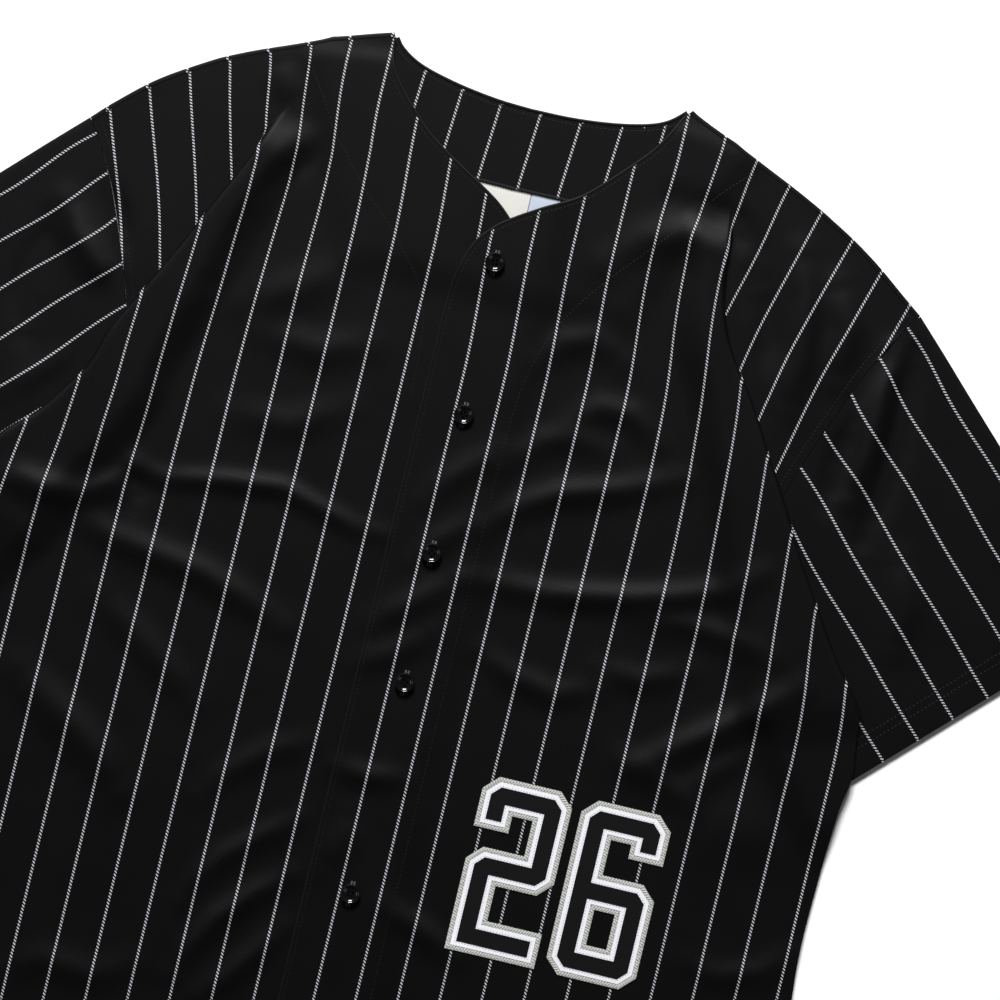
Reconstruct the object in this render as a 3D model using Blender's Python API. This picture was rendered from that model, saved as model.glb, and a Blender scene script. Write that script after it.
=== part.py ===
"""A short-sleeved baseball jersey with a full button front, laid flat on its back.

The garment is cut from flat pieces. Each piece is drawn at its flat size, and one function, laid(),
says where a point of the double cloth comes to lie: the body stays where it is, and each arm is
turned down, so that a knife fold runs under it and the body lies on top of the arm.
Lengths are in millimetres up to the last step, which turns them into metres. X runs to the
wearer's left, Y to the neck and Z up, with the origin on the floor under the middle of the garment.
"""
from collections import namedtuple
from math import ceil, cos, pi, radians, sin, tau

import bmesh
import bpy
import numpy as np
from mathutils import Vector
from mathutils.geometry import delaunay_2d_cdt

MM = 0.001

# Cloth
WALL = 1.0
SEAM = 0.3
SKIN = SEAM / 2
OUTER = SKIN + WALL
FLOOR_TO_MIDDLE = OUTER

# Knife fold under each arm
ARM_TURN = radians(16.5)
BEND = 1.45
RAMP = 25.0
SOFT_REACH = 95.0
SOFT_TURN = radians(75.0)
STRIP_COVER = 5.0
BODY_ON_SLEEVE = (356.0, 385.0, 425.0, 462.0)
SLEEVE_LIFT = 0.6

# Where the middle of the laid garment is, from the middle of the neck line
MIDDLE_ACROSS = 0.0
MIDDLE_ALONG = -371.52

# Meshing
EDGE_STEP = 17.0
GRID = 27.0
RIDGE_GRID = 13.5
STATION_STEP = 20.0
FIRST_STATION = 57.0
LAST_STATION = 357.0
BEND_STEPS = 3
EDGE_TURNS = 4

Spot = namedtuple("Spot", "across along")
Crease = namedtuple("Crease", "radius degrees")
Fold = namedtuple("Fold", "side pivot_across pivot_along start creases")
Ridge = namedtuple("Ridge", "height width spots")

# Right is the wearer's left arm, at +X
FOLDS = {
    1: Fold(1, 130.0, -9.0, 61.0, [
        Crease(0, -84.5), Crease(60, -84.5), Crease(101, -83.6), Crease(122, -81.6),
        Crease(165, -75.0), Crease(203, -71.9), Crease(234, -70.1), Crease(267, -68.9),
        Crease(300, -67.6), Crease(333, -66.5), Crease(358, -65.4), Crease(400, -64.0),
        Crease(900, -60.0)]),
    -1: Fold(-1, 130.0, -9.0, 67.0, [
        Crease(0, -72.0), Crease(80, -71.0), Crease(122, -69.0), Crease(153, -68.3),
        Crease(202, -67.1), Crease(229, -66.7), Crease(255, -67.3), Crease(271, -66.7),
        Crease(295, -65.7), Crease(319, -64.0), Crease(345, -63.4), Crease(400, -62.0),
        Crease(900, -60.0)]),
}

# Outlines of the flat pieces. Each is drawn for +X, and the half at -X mirrors it.
# The neck and shoulders lie a little differently on each side, so they have a table for each.
BACK_NECK = {
    1: [Spot(0, -23.2), Spot(26, -22.6), Spot(51, -20), Spot(72, -15.6), Spot(85, -10), Spot(96, 0)],
    -1: [Spot(0, -23.2), Spot(20, -22.2), Spot(41, -19.5), Spot(57.5, -16.2), Spot(70, -12.8),
         Spot(79, -8.8), Spot(87, -3), Spot(91.5, 3.6)],
}
FRONT_NECK = {
    1: [Spot(96, 0), Spot(82.7, -25.5), Spot(67.4, -44), Spot(43.6, -67.8), Spot(20.4, -81.7),
        Spot(4.5, -91.8), Spot(-5, -99.2), Spot(-14.6, -110.6), Spot(-19.8, -123.3),
        Spot(-22.8, -136.8), Spot(-24.2, -155), Spot(-24.5, -175)],
    -1: [Spot(91.5, 3.6), Spot(89.5, -14), Spot(81.5, -27.5), Spot(70.3, -39.8), Spot(59, -50.8),
         Spot(46, -60), Spot(34.5, -67), Spot(23.5, -73.5), Spot(15.9, -78), Spot(5.3, -85),
         Spot(-4, -93.5), Spot(-12, -104), Spot(-18, -118), Spot(-22, -134), Spot(-24, -155),
         Spot(-24.5, -175)],
}
PLACKET_EDGE = -24.5
PLACKET_START = -175.0
HEM_LINE = -746.0
SHOULDER = {
    1: [Spot(96, 0), Spot(106, -5.2), Spot(130, -14.6), Spot(149, -17.6), Spot(182, -22),
        Spot(215, -28), Spot(242, -35.4), Spot(268, -45), Spot(283, -50.5)],
    -1: [Spot(91.5, 3.6), Spot(106, -0.8), Spot(130, -8.4), Spot(149, -11.6), Spot(182, -15.6),
         Spot(215, -21.8), Spot(242, -30), Spot(268, -42.2), Spot(283, -50.5)],
}
ARMHOLE = [Spot(283, -50.5), Spot(279, -62), Spot(273, -88.5), Spot(270, -111.6),
           Spot(267, -143), Spot(264.5, -172), Spot(263.5, -199), Spot(267, -232),
           Spot(277, -262), Spot(293, -286)]
SIDE = [Spot(293, -286), Spot(290, -310), Spot(288, -333), Spot(288, -361), Spot(290, -382),
        Spot(287, -402), Spot(285, -441), Spot(284, -492), Spot(287, -540), Spot(288, -610),
        Spot(285, -682)]
HEM = [Spot(285, -682), Spot(277, -696), Spot(250, -712), Spot(205, -728), Spot(150, -739),
       Spot(80, -745), Spot(0, -746)]
SLEEVE_TOP = [Spot(283, -50.5), Spot(310, -65), Spot(340, -81.5), Spot(411, -120),
              Spot(479.7, -157.8)]
SLEEVE_HEM = [Spot(479.7, -157.8), Spot(383, -334.6)]
UNDERARM = [Spot(383, -334.6), Spot(338, -310), Spot(293, -286)]
SHOULDER_WRAP = 1.5

# Back neck facing and labels, which show inside the neck
FACING = {
    1: [Spot(0, -26), Spot(26, -25.5), Spot(51, -23), Spot(72, -18.6), Spot(84, -14),
        Spot(92, -30), Spot(104, -48), Spot(96, -62), Spot(60, -72), Spot(0, -74.5)],
    -1: [Spot(0, -26), Spot(20, -25.2), Spot(41, -22.6), Spot(58, -19.2), Spot(71, -15.6),
         Spot(83, -11.5), Spot(92, -30), Spot(104, -48), Spot(96, -62), Spot(60, -72),
         Spot(0, -74.5)],
}
LABEL_WALL = 0.6
LABEL_BOX = (-50.0, -116.0, 12.4, -74.9)
SIZE_TAB_BOX = (12.8, -95.0, 31.0, -74.9)

# Fronts, piping and buttons
OVERLAP_LINES = (27.0, 47.0)
OVERLAP_RAISE = 1.5
NECK_RAISE = 1.4
PIPING_WIDTH = 2.0
PIPING_HEIGHT = 1.2
PIPING_SIDES = 6
BUTTON_RADIUS = 6.2
BUTTON_HEIGHT = 2.6
BUTTON_SIDES = 16
BUTTONS = [Spot(0.5, -121.8), Spot(3.7, -218), Spot(4.4, -306), Spot(6.8, -388),
           Spot(4.7, -523), Spot(4.5, -612), Spot(4.0, -700)]

# Two block digits, each a thick applique with its outline bands
DIGIT_WIDTH = 57.0
DIGIT_HEIGHT = 111.0
DIGIT_STROKE = 22.0
DIGIT_CORNER = 9.0
DIGIT_WALL = 0.9
DIGIT_PLACES = {"2": (69.0, -542.0), "6": (132.0, -542.0)}

# The largest folds of the upper layer, in the places where they lie
RIDGES = [
    Ridge(3.6, 13, [Spot(-268, -316), Spot(-223, -312), Spot(-188, -291), Spot(-139, -295),
                    Spot(-90, -289), Spot(-62, -295)]),
    Ridge(2.6, 11, [Spot(-189, -338), Spot(-154, -347), Spot(-118, -355)]),
    Ridge(2.2, 12, [Spot(-216, -440), Spot(-172, -473)]),
    Ridge(2.2, 10, [Spot(-82, -589), Spot(-57, -566), Spot(-30, -546)]),
    Ridge(2.0, 9, [Spot(-72, -548), Spot(-52, -536), Spot(-34, -518)]),
    Ridge(4.2, 12, [Spot(34, -318), Spot(75, -310), Spot(148, -297), Spot(204, -274)]),
    Ridge(3.0, 11, [Spot(47, -297), Spot(67, -276), Spot(90, -257), Spot(130, -215)]),
    Ridge(2.8, 13, [Spot(166, -380), Spot(197, -360), Spot(240, -355)]),
    Ridge(2.0, 10, [Spot(224, -424), Spot(258, -438)]),
    Ridge(4.0, 15, [Spot(98, -92), Spot(116, -80), Spot(131, -80), Spot(141, -104)]),
    Ridge(3.0, 15, [Spot(-112, -96), Spot(-137, -104), Spot(-168, -122)]),
    Ridge(3.4, 11, [Spot(268, -140), Spot(274, -190), Spot(272, -224), Spot(274, -266)]),
    Ridge(2.4, 12, [Spot(-259, -150), Spot(-243, -190)]),
    Ridge(2.6, 15, [Spot(-236, -600), Spot(-180, -622), Spot(-132, -628)]),
    Ridge(2.4, 15, [Spot(214, -600), Spot(160, -628), Spot(110, -634)]),
]


def smooth(value):
    """Run from 0 to 1 with level ends."""
    part = np.clip(value, 0.0, 1.0)
    return part * part * (3.0 - 2.0 * part)


def table_curve(value, keys, rows):
    """A smooth curve through a table's rows."""
    keys = np.asarray(keys, float)
    rows = np.asarray(rows, float)
    slopes = np.gradient(rows, keys)
    place = np.clip(np.searchsorted(keys, value) - 1, 0, len(keys) - 2)
    width = keys[place + 1] - keys[place]
    part = np.clip((value - keys[place]) / width, 0.0, 1.0)
    low, high = rows[place], rows[place + 1]
    start, end = slopes[place] * width, slopes[place + 1] * width
    return ((2 * part ** 3 - 3 * part ** 2 + 1) * low + (part ** 3 - 2 * part ** 2 + part) * start
            + (3 * part ** 2 - 2 * part ** 3) * high + (part ** 3 - part ** 2) * end)


def fold_sizes(radius, fold):
    """The knife fold's sizes at a distance from its pivot.

    The arm is turned by ARM_TURN, so a ring of cloth has ARM_TURN * radius too much length.
    Near the shoulder that is taken up softly, and from fold.start on a fold takes in the rest.
    """
    full = fold.start + 2 * pi * BEND / ARM_TURN
    begin = fold.start - 16.0
    part = np.clip((radius - begin) / (full - begin), 1e-4, 1.0)
    turn = pi * part
    height = 2 * BEND * (1 - np.cos(pi * np.clip(1.5 * part, 0.0, 1.0)))
    bend = height / (2 * (1 - np.cos(turn)))
    taken = 2 * bend * (turn - np.sin(turn))
    soft_full = ARM_TURN * fold.start * (1 - smooth((radius - 300.0) / 100.0))
    beyond = radius > full
    soft = np.where(beyond, soft_full, ARM_TURN * radius - taken)
    taken = np.where(beyond, ARM_TURN * radius - soft_full, taken)
    strip = np.where(beyond, np.maximum(taken - 2 * pi * BEND, 0.0) / 2, 0.0)
    crease = np.radians(table_curve(radius, [c.radius for c in fold.creases],
                                    [c.degrees for c in fold.creases]))
    first, second, third, last = BODY_ON_SLEEVE
    over = (1 - (1 - SLEEVE_LIFT) * smooth((radius - first) / (second - first))
            - SLEEVE_LIFT * smooth((radius - third) / (last - third)))
    return dict(turn=turn, height=height, bend=bend, taken=taken, soft=soft / radius,
                strip=strip, crease=crease, over=over,
                cover=np.minimum(strip, 45.0) + bend + STRIP_COVER)


def soft_share(angle, radius):
    """How much of the soft turn has been passed, from 0 on the body to 1 on the arm."""
    reach = np.minimum(SOFT_TURN, SOFT_REACH / radius)
    return smooth((angle / reach + 1) / 2)


def arc_from_crease(across, along, fold):
    """Polar place of a flat point: its radius, the fold's sizes, and its arc from the crease."""
    x = across * fold.side - fold.pivot_across
    y = along - fold.pivot_along
    radius = np.maximum(np.hypot(x, y), 0.5)
    sizes = fold_sizes(radius, fold)
    angle = np.arctan2(y, x) - sizes["crease"] - sizes["soft"] / 2
    angle = (angle + pi) % tau - pi
    arc = radius * (angle - sizes["soft"] * (soft_share(angle, radius) - 0.5))
    return radius, sizes, arc


def fold_section(arc, sizes):
    """The fold in section: how far from the crease, and how high, a point comes to lie."""
    turn, bend, strip, taken = (sizes[k] for k in ("turn", "bend", "strip", "taken"))
    height = sizes["height"]
    lift = height * sizes["over"] * (1 - smooth((-arc - sizes["cover"]) / RAMP))
    reach = bend * turn
    first = np.clip(arc / bend, 0.0, turn)
    straight = np.clip(arc - reach, 0.0, strip)
    second = np.clip((arc - reach - strip) / bend, 0.0, turn)
    out = bend * np.sin(first) + straight * np.cos(turn)
    out = out + bend * (np.sin(turn) - np.sin(turn - second))
    down = bend * (1 - np.cos(first)) + straight * np.sin(turn)
    down = down + bend * (np.cos(turn - second) - np.cos(turn))
    inside = arc < 0
    beyond = arc > 2 * reach + strip
    out = np.where(inside, arc, np.where(beyond, arc - taken, out))
    high = np.where(inside, lift, np.where(beyond, 0.0, height - down))
    return out, high


def middle(across, along):
    """Where the middle of the double cloth lies, for flat points."""
    across = np.asarray(across, float)
    along = np.asarray(along, float)
    place = np.zeros(across.shape + (3,))
    for fold in FOLDS.values():
        mine = across * fold.side >= 0
        radius, sizes, arc = arc_from_crease(across[mine], along[mine], fold)
        out, high = fold_section(arc, sizes)
        angle = sizes["crease"] + out / radius
        place[mine, 0] = fold.side * (fold.pivot_across + radius * np.cos(angle))
        place[mine, 1] = fold.pivot_along + radius * np.sin(angle)
        place[mine, 2] = high
    return place


def laid(across, along, level):
    """Where a point lies that is level mm above the middle of the double cloth."""
    across = np.asarray(across, float)
    along = np.asarray(along, float)
    near = 0.02
    nudge = np.where(across >= 0, near, -near)
    place = middle(across, along)
    run_x = (middle(across + nudge, along) - place) / nudge[..., None]
    run_y = middle(across, along + near) - middle(across, along - near)
    normal = np.cross(run_x, run_y)
    normal /= np.linalg.norm(normal, axis=-1)[..., None]
    place = place + normal * np.asarray(level, float)[..., None]
    place[..., 2] += FLOOR_TO_MIDDLE
    return place


# What lifts the upper layer above the middle

def fold_mask(across, along):
    """1 on the open cloth and 0 where it is bent into a knife fold."""
    mask = np.ones(across.shape)
    for fold in FOLDS.values():
        mine = across * fold.side >= 0
        radius, sizes, arc = arc_from_crease(across[mine], along[mine], fold)
        end = 2 * sizes["bend"] * sizes["turn"] + sizes["strip"]
        clear = smooth((-arc - 6.0) / 22.0) + smooth((arc - end - sizes["strip"] - 8.0) / 22.0)
        apart = 1 - smooth((radius - 50.0) / 30.0) * (1 - smooth((radius - 380.0) / 50.0))
        mask[mine] = np.clip(clear + apart, 0.0, 1.0)
    return mask


def ridge_height(across, along):
    """The soft folds of the upper layer, read at the place where the cloth lies."""
    place = middle(across, along)
    total = np.zeros(across.shape)
    for ridge in RIDGES:
        spots = np.array(ridge.spots, float)
        steps = np.linalg.norm(np.diff(spots, axis=0), axis=1)
        passed = np.concatenate([[0.0], np.cumsum(steps)])
        best = np.full(across.shape, 1e9)
        run = np.zeros(across.shape)
        for i in range(len(steps)):
            side = (spots[i + 1] - spots[i]) / steps[i]
            dx = place[..., 0] - spots[i][0]
            dy = place[..., 1] - spots[i][1]
            part = np.clip(dx * side[0] + dy * side[1], 0.0, steps[i])
            gap = np.hypot(dx - part * side[0], dy - part * side[1])
            closer = gap < best
            best = np.where(closer, gap, best)
            run = np.where(closer, (passed[i] + part) / passed[-1], run)
        taper = np.sin(pi * np.clip(run, 0.06, 0.94)) ** 0.6
        total += ridge.height * taper * np.exp(-(best / ridge.width) ** 2)
    return total * fold_mask(across, along)


def neck_raise(across, along):
    """Room for the facing and labels that lie between the back and the fronts."""
    wide = np.abs(across)
    below_shoulder = -along - 0.12 * np.maximum(wide - 96.0, 0.0)
    reach = np.maximum((wide - 142.0 - 0.45 * along) / 25.0, (-along - 128.0) / 25.0)
    return NECK_RAISE * smooth((below_shoulder - 5.0) / 13.0) * smooth(1 - reach)


def front_raise(across, along, side):
    """How far a front lies above its lowest place; the left front also crosses the right one."""
    raised = neck_raise(across, along) + ridge_height(across, along)
    if side > 0:
        near, far = OVERLAP_LINES
        raised = raised + OVERLAP_RAISE * smooth((far - across) / (far - near))
    return raised


# Outlines

def chain(spots, step=EDGE_STEP, side=1):
    """Points along a smooth curve through a table of spots."""
    rows = [Vector((s.across * side, s.along)) for s in spots]
    rows = [rows[0] * 2 - rows[1]] + rows + [rows[-1] * 2 - rows[-2]]
    points = []
    for i in range(1, len(rows) - 2):
        before, start, end, after = rows[i - 1:i + 3]
        count = max(1, ceil((end - start).length / step))
        for j in range(count):
            t = j / count
            points.append(0.5 * ((2 * start) + (end - before) * t
                                 + (2 * before - 5 * start + 4 * end - after) * t * t
                                 + (3 * start - before - 3 * end + after) * t ** 3))
    points.append(rows[-2])
    return points


def straight(start, end, step=EDGE_STEP):
    count = max(1, ceil((Vector(end) - Vector(start)).length / step))
    return [Vector(start).lerp(Vector(end), i / count) for i in range(count + 1)]


def ring(*chains):
    """Join named chains into one closed outline: its points, and the name of each edge."""
    points, names = [], []
    for name, run in chains:
        points += run[:-1]
        names += [name] * (len(run) - 1)
    return points, names


def inset(outline, distances):
    """Move each edge of a counter-clockwise outline inwards by its own distance."""
    points, names = outline
    count = len(points)
    lines = []
    for i in range(count):
        along = (points[(i + 1) % count] - points[i]).normalized()
        inward = Vector((-along.y, along.x))
        lines.append((points[i] + inward * distances.get(names[i], 0.0), along, inward))
    moved = []
    for i in range(count):
        spot_a, along_a, _ = lines[i - 1]
        spot_b, along_b, inward_b = lines[i]
        cross = along_a.x * along_b.y - along_a.y * along_b.x
        if abs(cross) < 0.02:
            moved.append(spot_b.copy())
        else:
            gap = spot_b - spot_a
            moved.append(spot_a + along_a * ((gap.x * along_b.y - gap.y * along_b.x) / cross))
    return moved, names


def body_chains(side):
    """Shoulder to hem for one half, from the neck point round to the middle of the hem."""
    return [("shoulder", chain(SHOULDER[side], side=side)), ("armhole", chain(ARMHOLE, side=side)),
            ("side", chain(SIDE, side=side)), ("hem", chain(HEM, side=side))]


def turned(named):
    """The same chains, walked the other way."""
    return [(name, run[::-1]) for name, run in reversed(named)]


def back_outline():
    """Counter-clockwise: up the right side, over the neck, down the left side."""
    right = [("neck", chain(BACK_NECK[1]))] + body_chains(1)
    left = [("neck", chain(BACK_NECK[-1], side=-1))] + body_chains(-1)
    return inset(ring(*turned(right), *left), {"neck": SEAM + PIPING_WIDTH, "shoulder": OUTER,
                                               "armhole": SKIN})


def front_outline(side):
    """Counter-clockwise outline of a front, with its straight placket edge."""
    hem_inner = PLACKET_EDGE * side
    hem = [p for p in chain(HEM, side=side) if p.x * side > 14.0] + [Vector((hem_inner, HEM_LINE))]
    neck = chain(FRONT_NECK[side], side=side)[:-1]
    neck += straight((hem_inner, PLACKET_START), (hem_inner, HEM_LINE))
    named = body_chains(side)[:3] + [("hem", hem), ("neck", neck[::-1])]
    if side > 0:
        named = turned(named)
    return inset(ring(*named), {"neck": SEAM + PIPING_WIDTH, "armhole": SKIN,
                                "shoulder": OUTER + SHOULDER_WRAP + SEAM})


def sleeve_outline(side):
    named = [("top", chain(SLEEVE_TOP, side=side)), ("hem", chain(SLEEVE_HEM, side=side)),
             ("underarm", chain(UNDERARM, side=side)),
             ("armhole", chain(ARMHOLE, side=side)[::-1])]
    if side > 0:
        named = turned(named)
    return inset(ring(*named), {"top": OUTER, "armhole": SKIN})


# Points inside the outlines

def flat_spot(radius, arc, fold):
    """The flat point that lies at an arc from the crease."""
    sizes = fold_sizes(np.array(radius), fold)
    angle = arc / radius
    for _ in range(14):
        angle = arc / radius + sizes["soft"] * (soft_share(angle, radius) - 0.5)
    angle = angle + sizes["crease"] + sizes["soft"] / 2
    return Vector((fold.side * (fold.pivot_across + radius * cos(angle)),
                   fold.pivot_along + radius * sin(angle)))


def fold_arcs(radius, fold):
    """Where the cloth is creased along one ring, as arcs from the crease."""
    sizes = {k: float(v) for k, v in fold_sizes(np.array(radius), fold).items()}
    reach = sizes["bend"] * sizes["turn"]
    second = reach + sizes["strip"]
    body = [-sizes["cover"] - RAMP * part for part in (1.0, 0.66, 0.33, 0.0)]
    first_bend = [reach * i / BEND_STEPS for i in range(BEND_STEPS + 1)]
    second_bend = [second + reach * i / BEND_STEPS for i in range(BEND_STEPS + 1)]
    return body + first_bend + second_bend + [second + reach + 14.0]


def fold_lattice(fold):
    """Rows of points across the fold, and the edges that join them."""
    radii = np.arange(FIRST_STATION, LAST_STATION + 1.0, STATION_STEP)
    rows = [[flat_spot(r, arc, fold) for arc in fold_arcs(r, fold)] for r in radii]
    points, edges, known = [], [], {}
    index = []
    for row in rows:
        line = []
        for spot in row:
            key = (round(spot.x * 4), round(spot.y * 4))
            if key not in known:
                known[key] = len(points)
                points.append(spot)
            line.append(known[key])
        index.append(line)
    for i, line in enumerate(index):
        edges += [(a, b) for a, b in zip(line, line[1:]) if a != b]
        if i:
            edges += [(a, b) for a, b in zip(index[i - 1], line) if a != b]
    return points, edges


def inside(x, y, points):
    """Which of many places are inside a closed outline."""
    hit = np.zeros(x.shape, bool)
    for a, b in zip(points, points[1:] + points[:1]):
        if a.y == b.y:
            continue
        crosses = (a.y > y) != (b.y > y)
        hit ^= crosses & (x < (b.x - a.x) * (y - a.y) / (b.y - a.y) + a.x)
    return hit


def edge_distance(x, y, points):
    best = np.full(x.shape, 1e9)
    for a, b in zip(points, points[1:] + points[:1]):
        length = max((b - a).length_squared, 1e-9)
        part = np.clip(((x - a.x) * (b.x - a.x) + (y - a.y) * (b.y - a.y)) / length, 0, 1)
        best = np.minimum(best, np.hypot(x - a.x - part * (b.x - a.x), y - a.y - part * (b.y - a.y)))
    return best


def grid_points(points, ridged):
    """A triangular grid of points inside an outline, closer together on the soft folds."""
    found = []
    for spacing, only_ridges in ((GRID, False), (RIDGE_GRID, True)):
        if only_ridges and not ridged:
            continue
        rows = np.arange(-760.0, 10.0, spacing * 0.866)
        cols = np.arange(-500.0 - spacing, 500.0, spacing)
        x = np.concatenate([cols + (i % 2) * spacing / 2 for i in range(len(rows))])
        y = np.repeat(rows, len(cols))
        keep = inside(x, y, points)
        x, y = x[keep], y[keep]
        keep = edge_distance(x, y, points) > spacing * 0.42
        for fold in FOLDS.values():
            radius, sizes, arc = arc_from_crease(x, y, fold)
            end = 2 * sizes["bend"] * sizes["turn"] + sizes["strip"]
            near = (radius > FIRST_STATION - 9) & (radius < LAST_STATION + 9) & (x * fold.side > 0)
            near &= (arc > -sizes["cover"] - RAMP - 9) & (arc < end + 23)
            keep &= ~near
        if only_ridges:
            keep &= ridge_height(x, y) > 0.7
        found += [Vector(p) for p in zip(x[keep], y[keep])]
    return found


def flat_mesh(outline, folded=True, ridged=False, grid=True, holes=(), lines=()):
    """Triangulate a flat piece, with its creases, holes and lines kept as edges."""
    points, names = outline
    spots = list(points)
    edges = [(i, (i + 1) % len(points)) for i in range(len(points))]
    for hole in holes:
        base = len(spots)
        spots += hole
        edges += [(base + i, base + (i + 1) % len(hole)) for i in range(len(hole))]
    if folded:
        for fold in FOLDS.values():
            more, joins = fold_lattice(fold)
            base = len(spots)
            spots += more
            edges += [(a + base, b + base) for a, b in joins]
    for line in lines:
        base = len(spots)
        spots += line
        edges += [(base + i, base + i + 1) for i in range(len(line) - 1)]
    if grid:
        spots += grid_points(points, ridged)
    verts, _, faces, _, _, _ = delaunay_2d_cdt(spots, edges, [], 0, 0.05)
    x = np.array([sum(verts[i].x for i in f) / 3 for f in faces])
    y = np.array([sum(verts[i].y for i in f) / 3 for f in faces])
    keep = inside(x, y, points)
    for hole in holes:
        keep &= ~inside(x, y, hole)
    faces = [f for f, kept in zip(faces, keep) if kept]
    used = sorted({i for f in faces for i in f})
    place = {old: new for new, old in enumerate(used)}
    return [verts[i] for i in used], [tuple(place[i] for i in f) for f in faces]


def border(faces):
    """The border edges of a triangulation, each in the direction of its triangle."""
    seen = {(f[i], f[(i + 1) % 3]) for f in faces for i in range(3)}
    return [(a, b) for a, b in seen if (b, a) not in seen]


def segment_gap(spot, start, end):
    run = end - start
    part = max(0.0, min(1.0, (spot - start).dot(run) / run.length_squared))
    return (spot - start - run * part).length


def edge_names(verts, edges, outline):
    """The outline name that each border edge belongs to."""
    points, names = outline
    stretches = list(zip(points, points[1:] + points[:1], names))
    result = {}
    for a, b in edges:
        spot = (verts[a] + verts[b]) / 2
        nearest = min(stretches, key=lambda stretch: segment_gap(spot, stretch[0], stretch[1]))
        result[(a, b)] = nearest[2]
    return result


# Closed walls

class Solid:
    """Collects points and faces of one closed piece."""

    def __init__(self):
        self.places = []
        self.faces = []

    def add(self, flat, levels):
        """Add flat points at their levels and give their numbers."""
        base = sum(len(p) for p in self.places)
        spots = np.array([(p[0], p[1]) for p in flat], float)
        self.places.append(laid(spots[:, 0], spots[:, 1], np.asarray(levels, float)))
        return list(range(base, base + len(flat)))

    def sheet(self, numbers, faces, up):
        for face in faces:
            face = face if up else face[::-1]
            self.faces.append([numbers[i] for i in face])

    def band(self, start, end):
        """Join two columns of points, from the lower to the upper sheet."""
        for i in range(len(start) - 1):
            self.faces.append([start[i], end[i], end[i + 1], start[i + 1]])

    def build(self, name, colour, roughness):
        places = np.concatenate(self.places)
        places = (places - (MIDDLE_ACROSS, MIDDLE_ALONG, 0.0)) * MM
        mesh = bpy.data.meshes.new(name)
        mesh.from_pydata([tuple(p) for p in places], [], self.faces)
        shape = bmesh.new()
        shape.from_mesh(mesh)
        many = [f for f in shape.faces if len(f.verts) > 4]
        bmesh.ops.triangulate(shape, faces=many, ngon_method="EAR_CLIP")
        bmesh.ops.triangulate(shape, faces=shape.faces[:])
        shape.to_mesh(mesh)
        shape.free()
        mesh.materials.append(finish(name, colour, roughness))
        piece = bpy.data.objects.new(name, mesh)
        bpy.context.collection.objects.link(piece)
        return piece


def finish(name, colour, roughness):
    material = bpy.data.materials.new(name + "_finish")
    material.use_nodes = True
    shader = material.node_tree.nodes["Principled BSDF"]
    shader.inputs["Base Color"].default_value = (*colour, 1.0)
    shader.inputs["Roughness"].default_value = roughness
    shader.inputs["Metallic"].default_value = 0.0
    return material


def corner_normals(verts, edges):
    """The flat outward direction at each point of some border edges."""
    sums = {}
    for a, b in edges:
        run = (verts[b] - verts[a]).normalized()
        outward = Vector((run.y, -run.x))
        for i in (a, b):
            sums[i] = sums.get(i, Vector((0.0, 0.0))) + outward
    return {i: v.normalized() for i, v in sums.items()}


def folded_columns(solid, verts, outward, rows):
    """Columns of points round a folded edge, one for each of its border points."""
    columns = {i: [] for i in outward}
    for out, high in rows:
        flat = [verts[i] + normal * out for i, normal in outward.items()]
        for i, number in zip(outward, solid.add(flat, [high] * len(flat))):
            columns[i].append(number)
    return columns


def round_edge(radius, steps):
    """Rows of a half-round edge, as distance outwards and level."""
    return [(radius * cos(a), radius * sin(a))
            for a in (-pi / 2 + pi * i / steps for i in range(1, steps))]


def split_border(verts, faces, outline, wrap):
    """The plain border edges, the wrapped ones, and the points where the wrapped ones start and end."""
    edges = border(faces)
    names = edge_names(verts, edges, outline)
    wrapped = [e for e in edges if names[e] == wrap]
    plain = [e for e in edges if names[e] != wrap]
    starts = {a for a, b in wrapped} - {b for a, b in wrapped}
    ends = {b for a, b in wrapped} - {a for a, b in wrapped}
    return plain, wrapped, starts, ends


def wall(outline, low, high, mesh=None, wrap=None, wrap_rows=()):
    """One closed layer of cloth between two levels, with an edge that may wrap over."""
    verts, faces = mesh or flat_mesh(outline)
    solid = Solid()
    spots = np.array([(v.x, v.y) for v in verts])
    lower = solid.add(verts, low(spots[:, 0], spots[:, 1]))
    upper = solid.add(verts, high(spots[:, 0], spots[:, 1]))
    solid.sheet(upper, faces, True)
    solid.sheet(lower, faces, False)
    plain, wrapped, starts, ends = split_border(verts, faces, outline, wrap)
    for a, b in plain:
        solid.band([lower[a], upper[a]], [lower[b], upper[b]])
    if wrapped:
        columns = folded_columns(solid, verts, corner_normals(verts, wrapped), wrap_rows)
        full = {i: [lower[i]] + column + [upper[i]] for i, column in columns.items()}
        for a, b in wrapped:
            solid.band(full[a], full[b])
        for i in starts:
            solid.faces.append(full[i])
        for i in ends:
            solid.faces.append(full[i][::-1])
    return solid


def level(value):
    """A constant level for every point."""
    return lambda across, along: np.full(across.shape, value)


# Pieces

BLACK_CLOTH = (0.012, 0.012, 0.014)
CLOTH_ROUGHNESS = 0.62


def make_back():
    rows = round_edge(OUTER, EDGE_TURNS)
    rows += [(0.0, OUTER), (-SHOULDER_WRAP, OUTER), (-SHOULDER_WRAP, SKIN), (0.0, SKIN), (SKIN, 0.0)]
    solid = wall(back_outline(), level(-OUTER), level(-SKIN), wrap="shoulder", wrap_rows=rows)
    return solid.build("back_panel", BLACK_CLOTH, CLOTH_ROUGHNESS)


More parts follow.
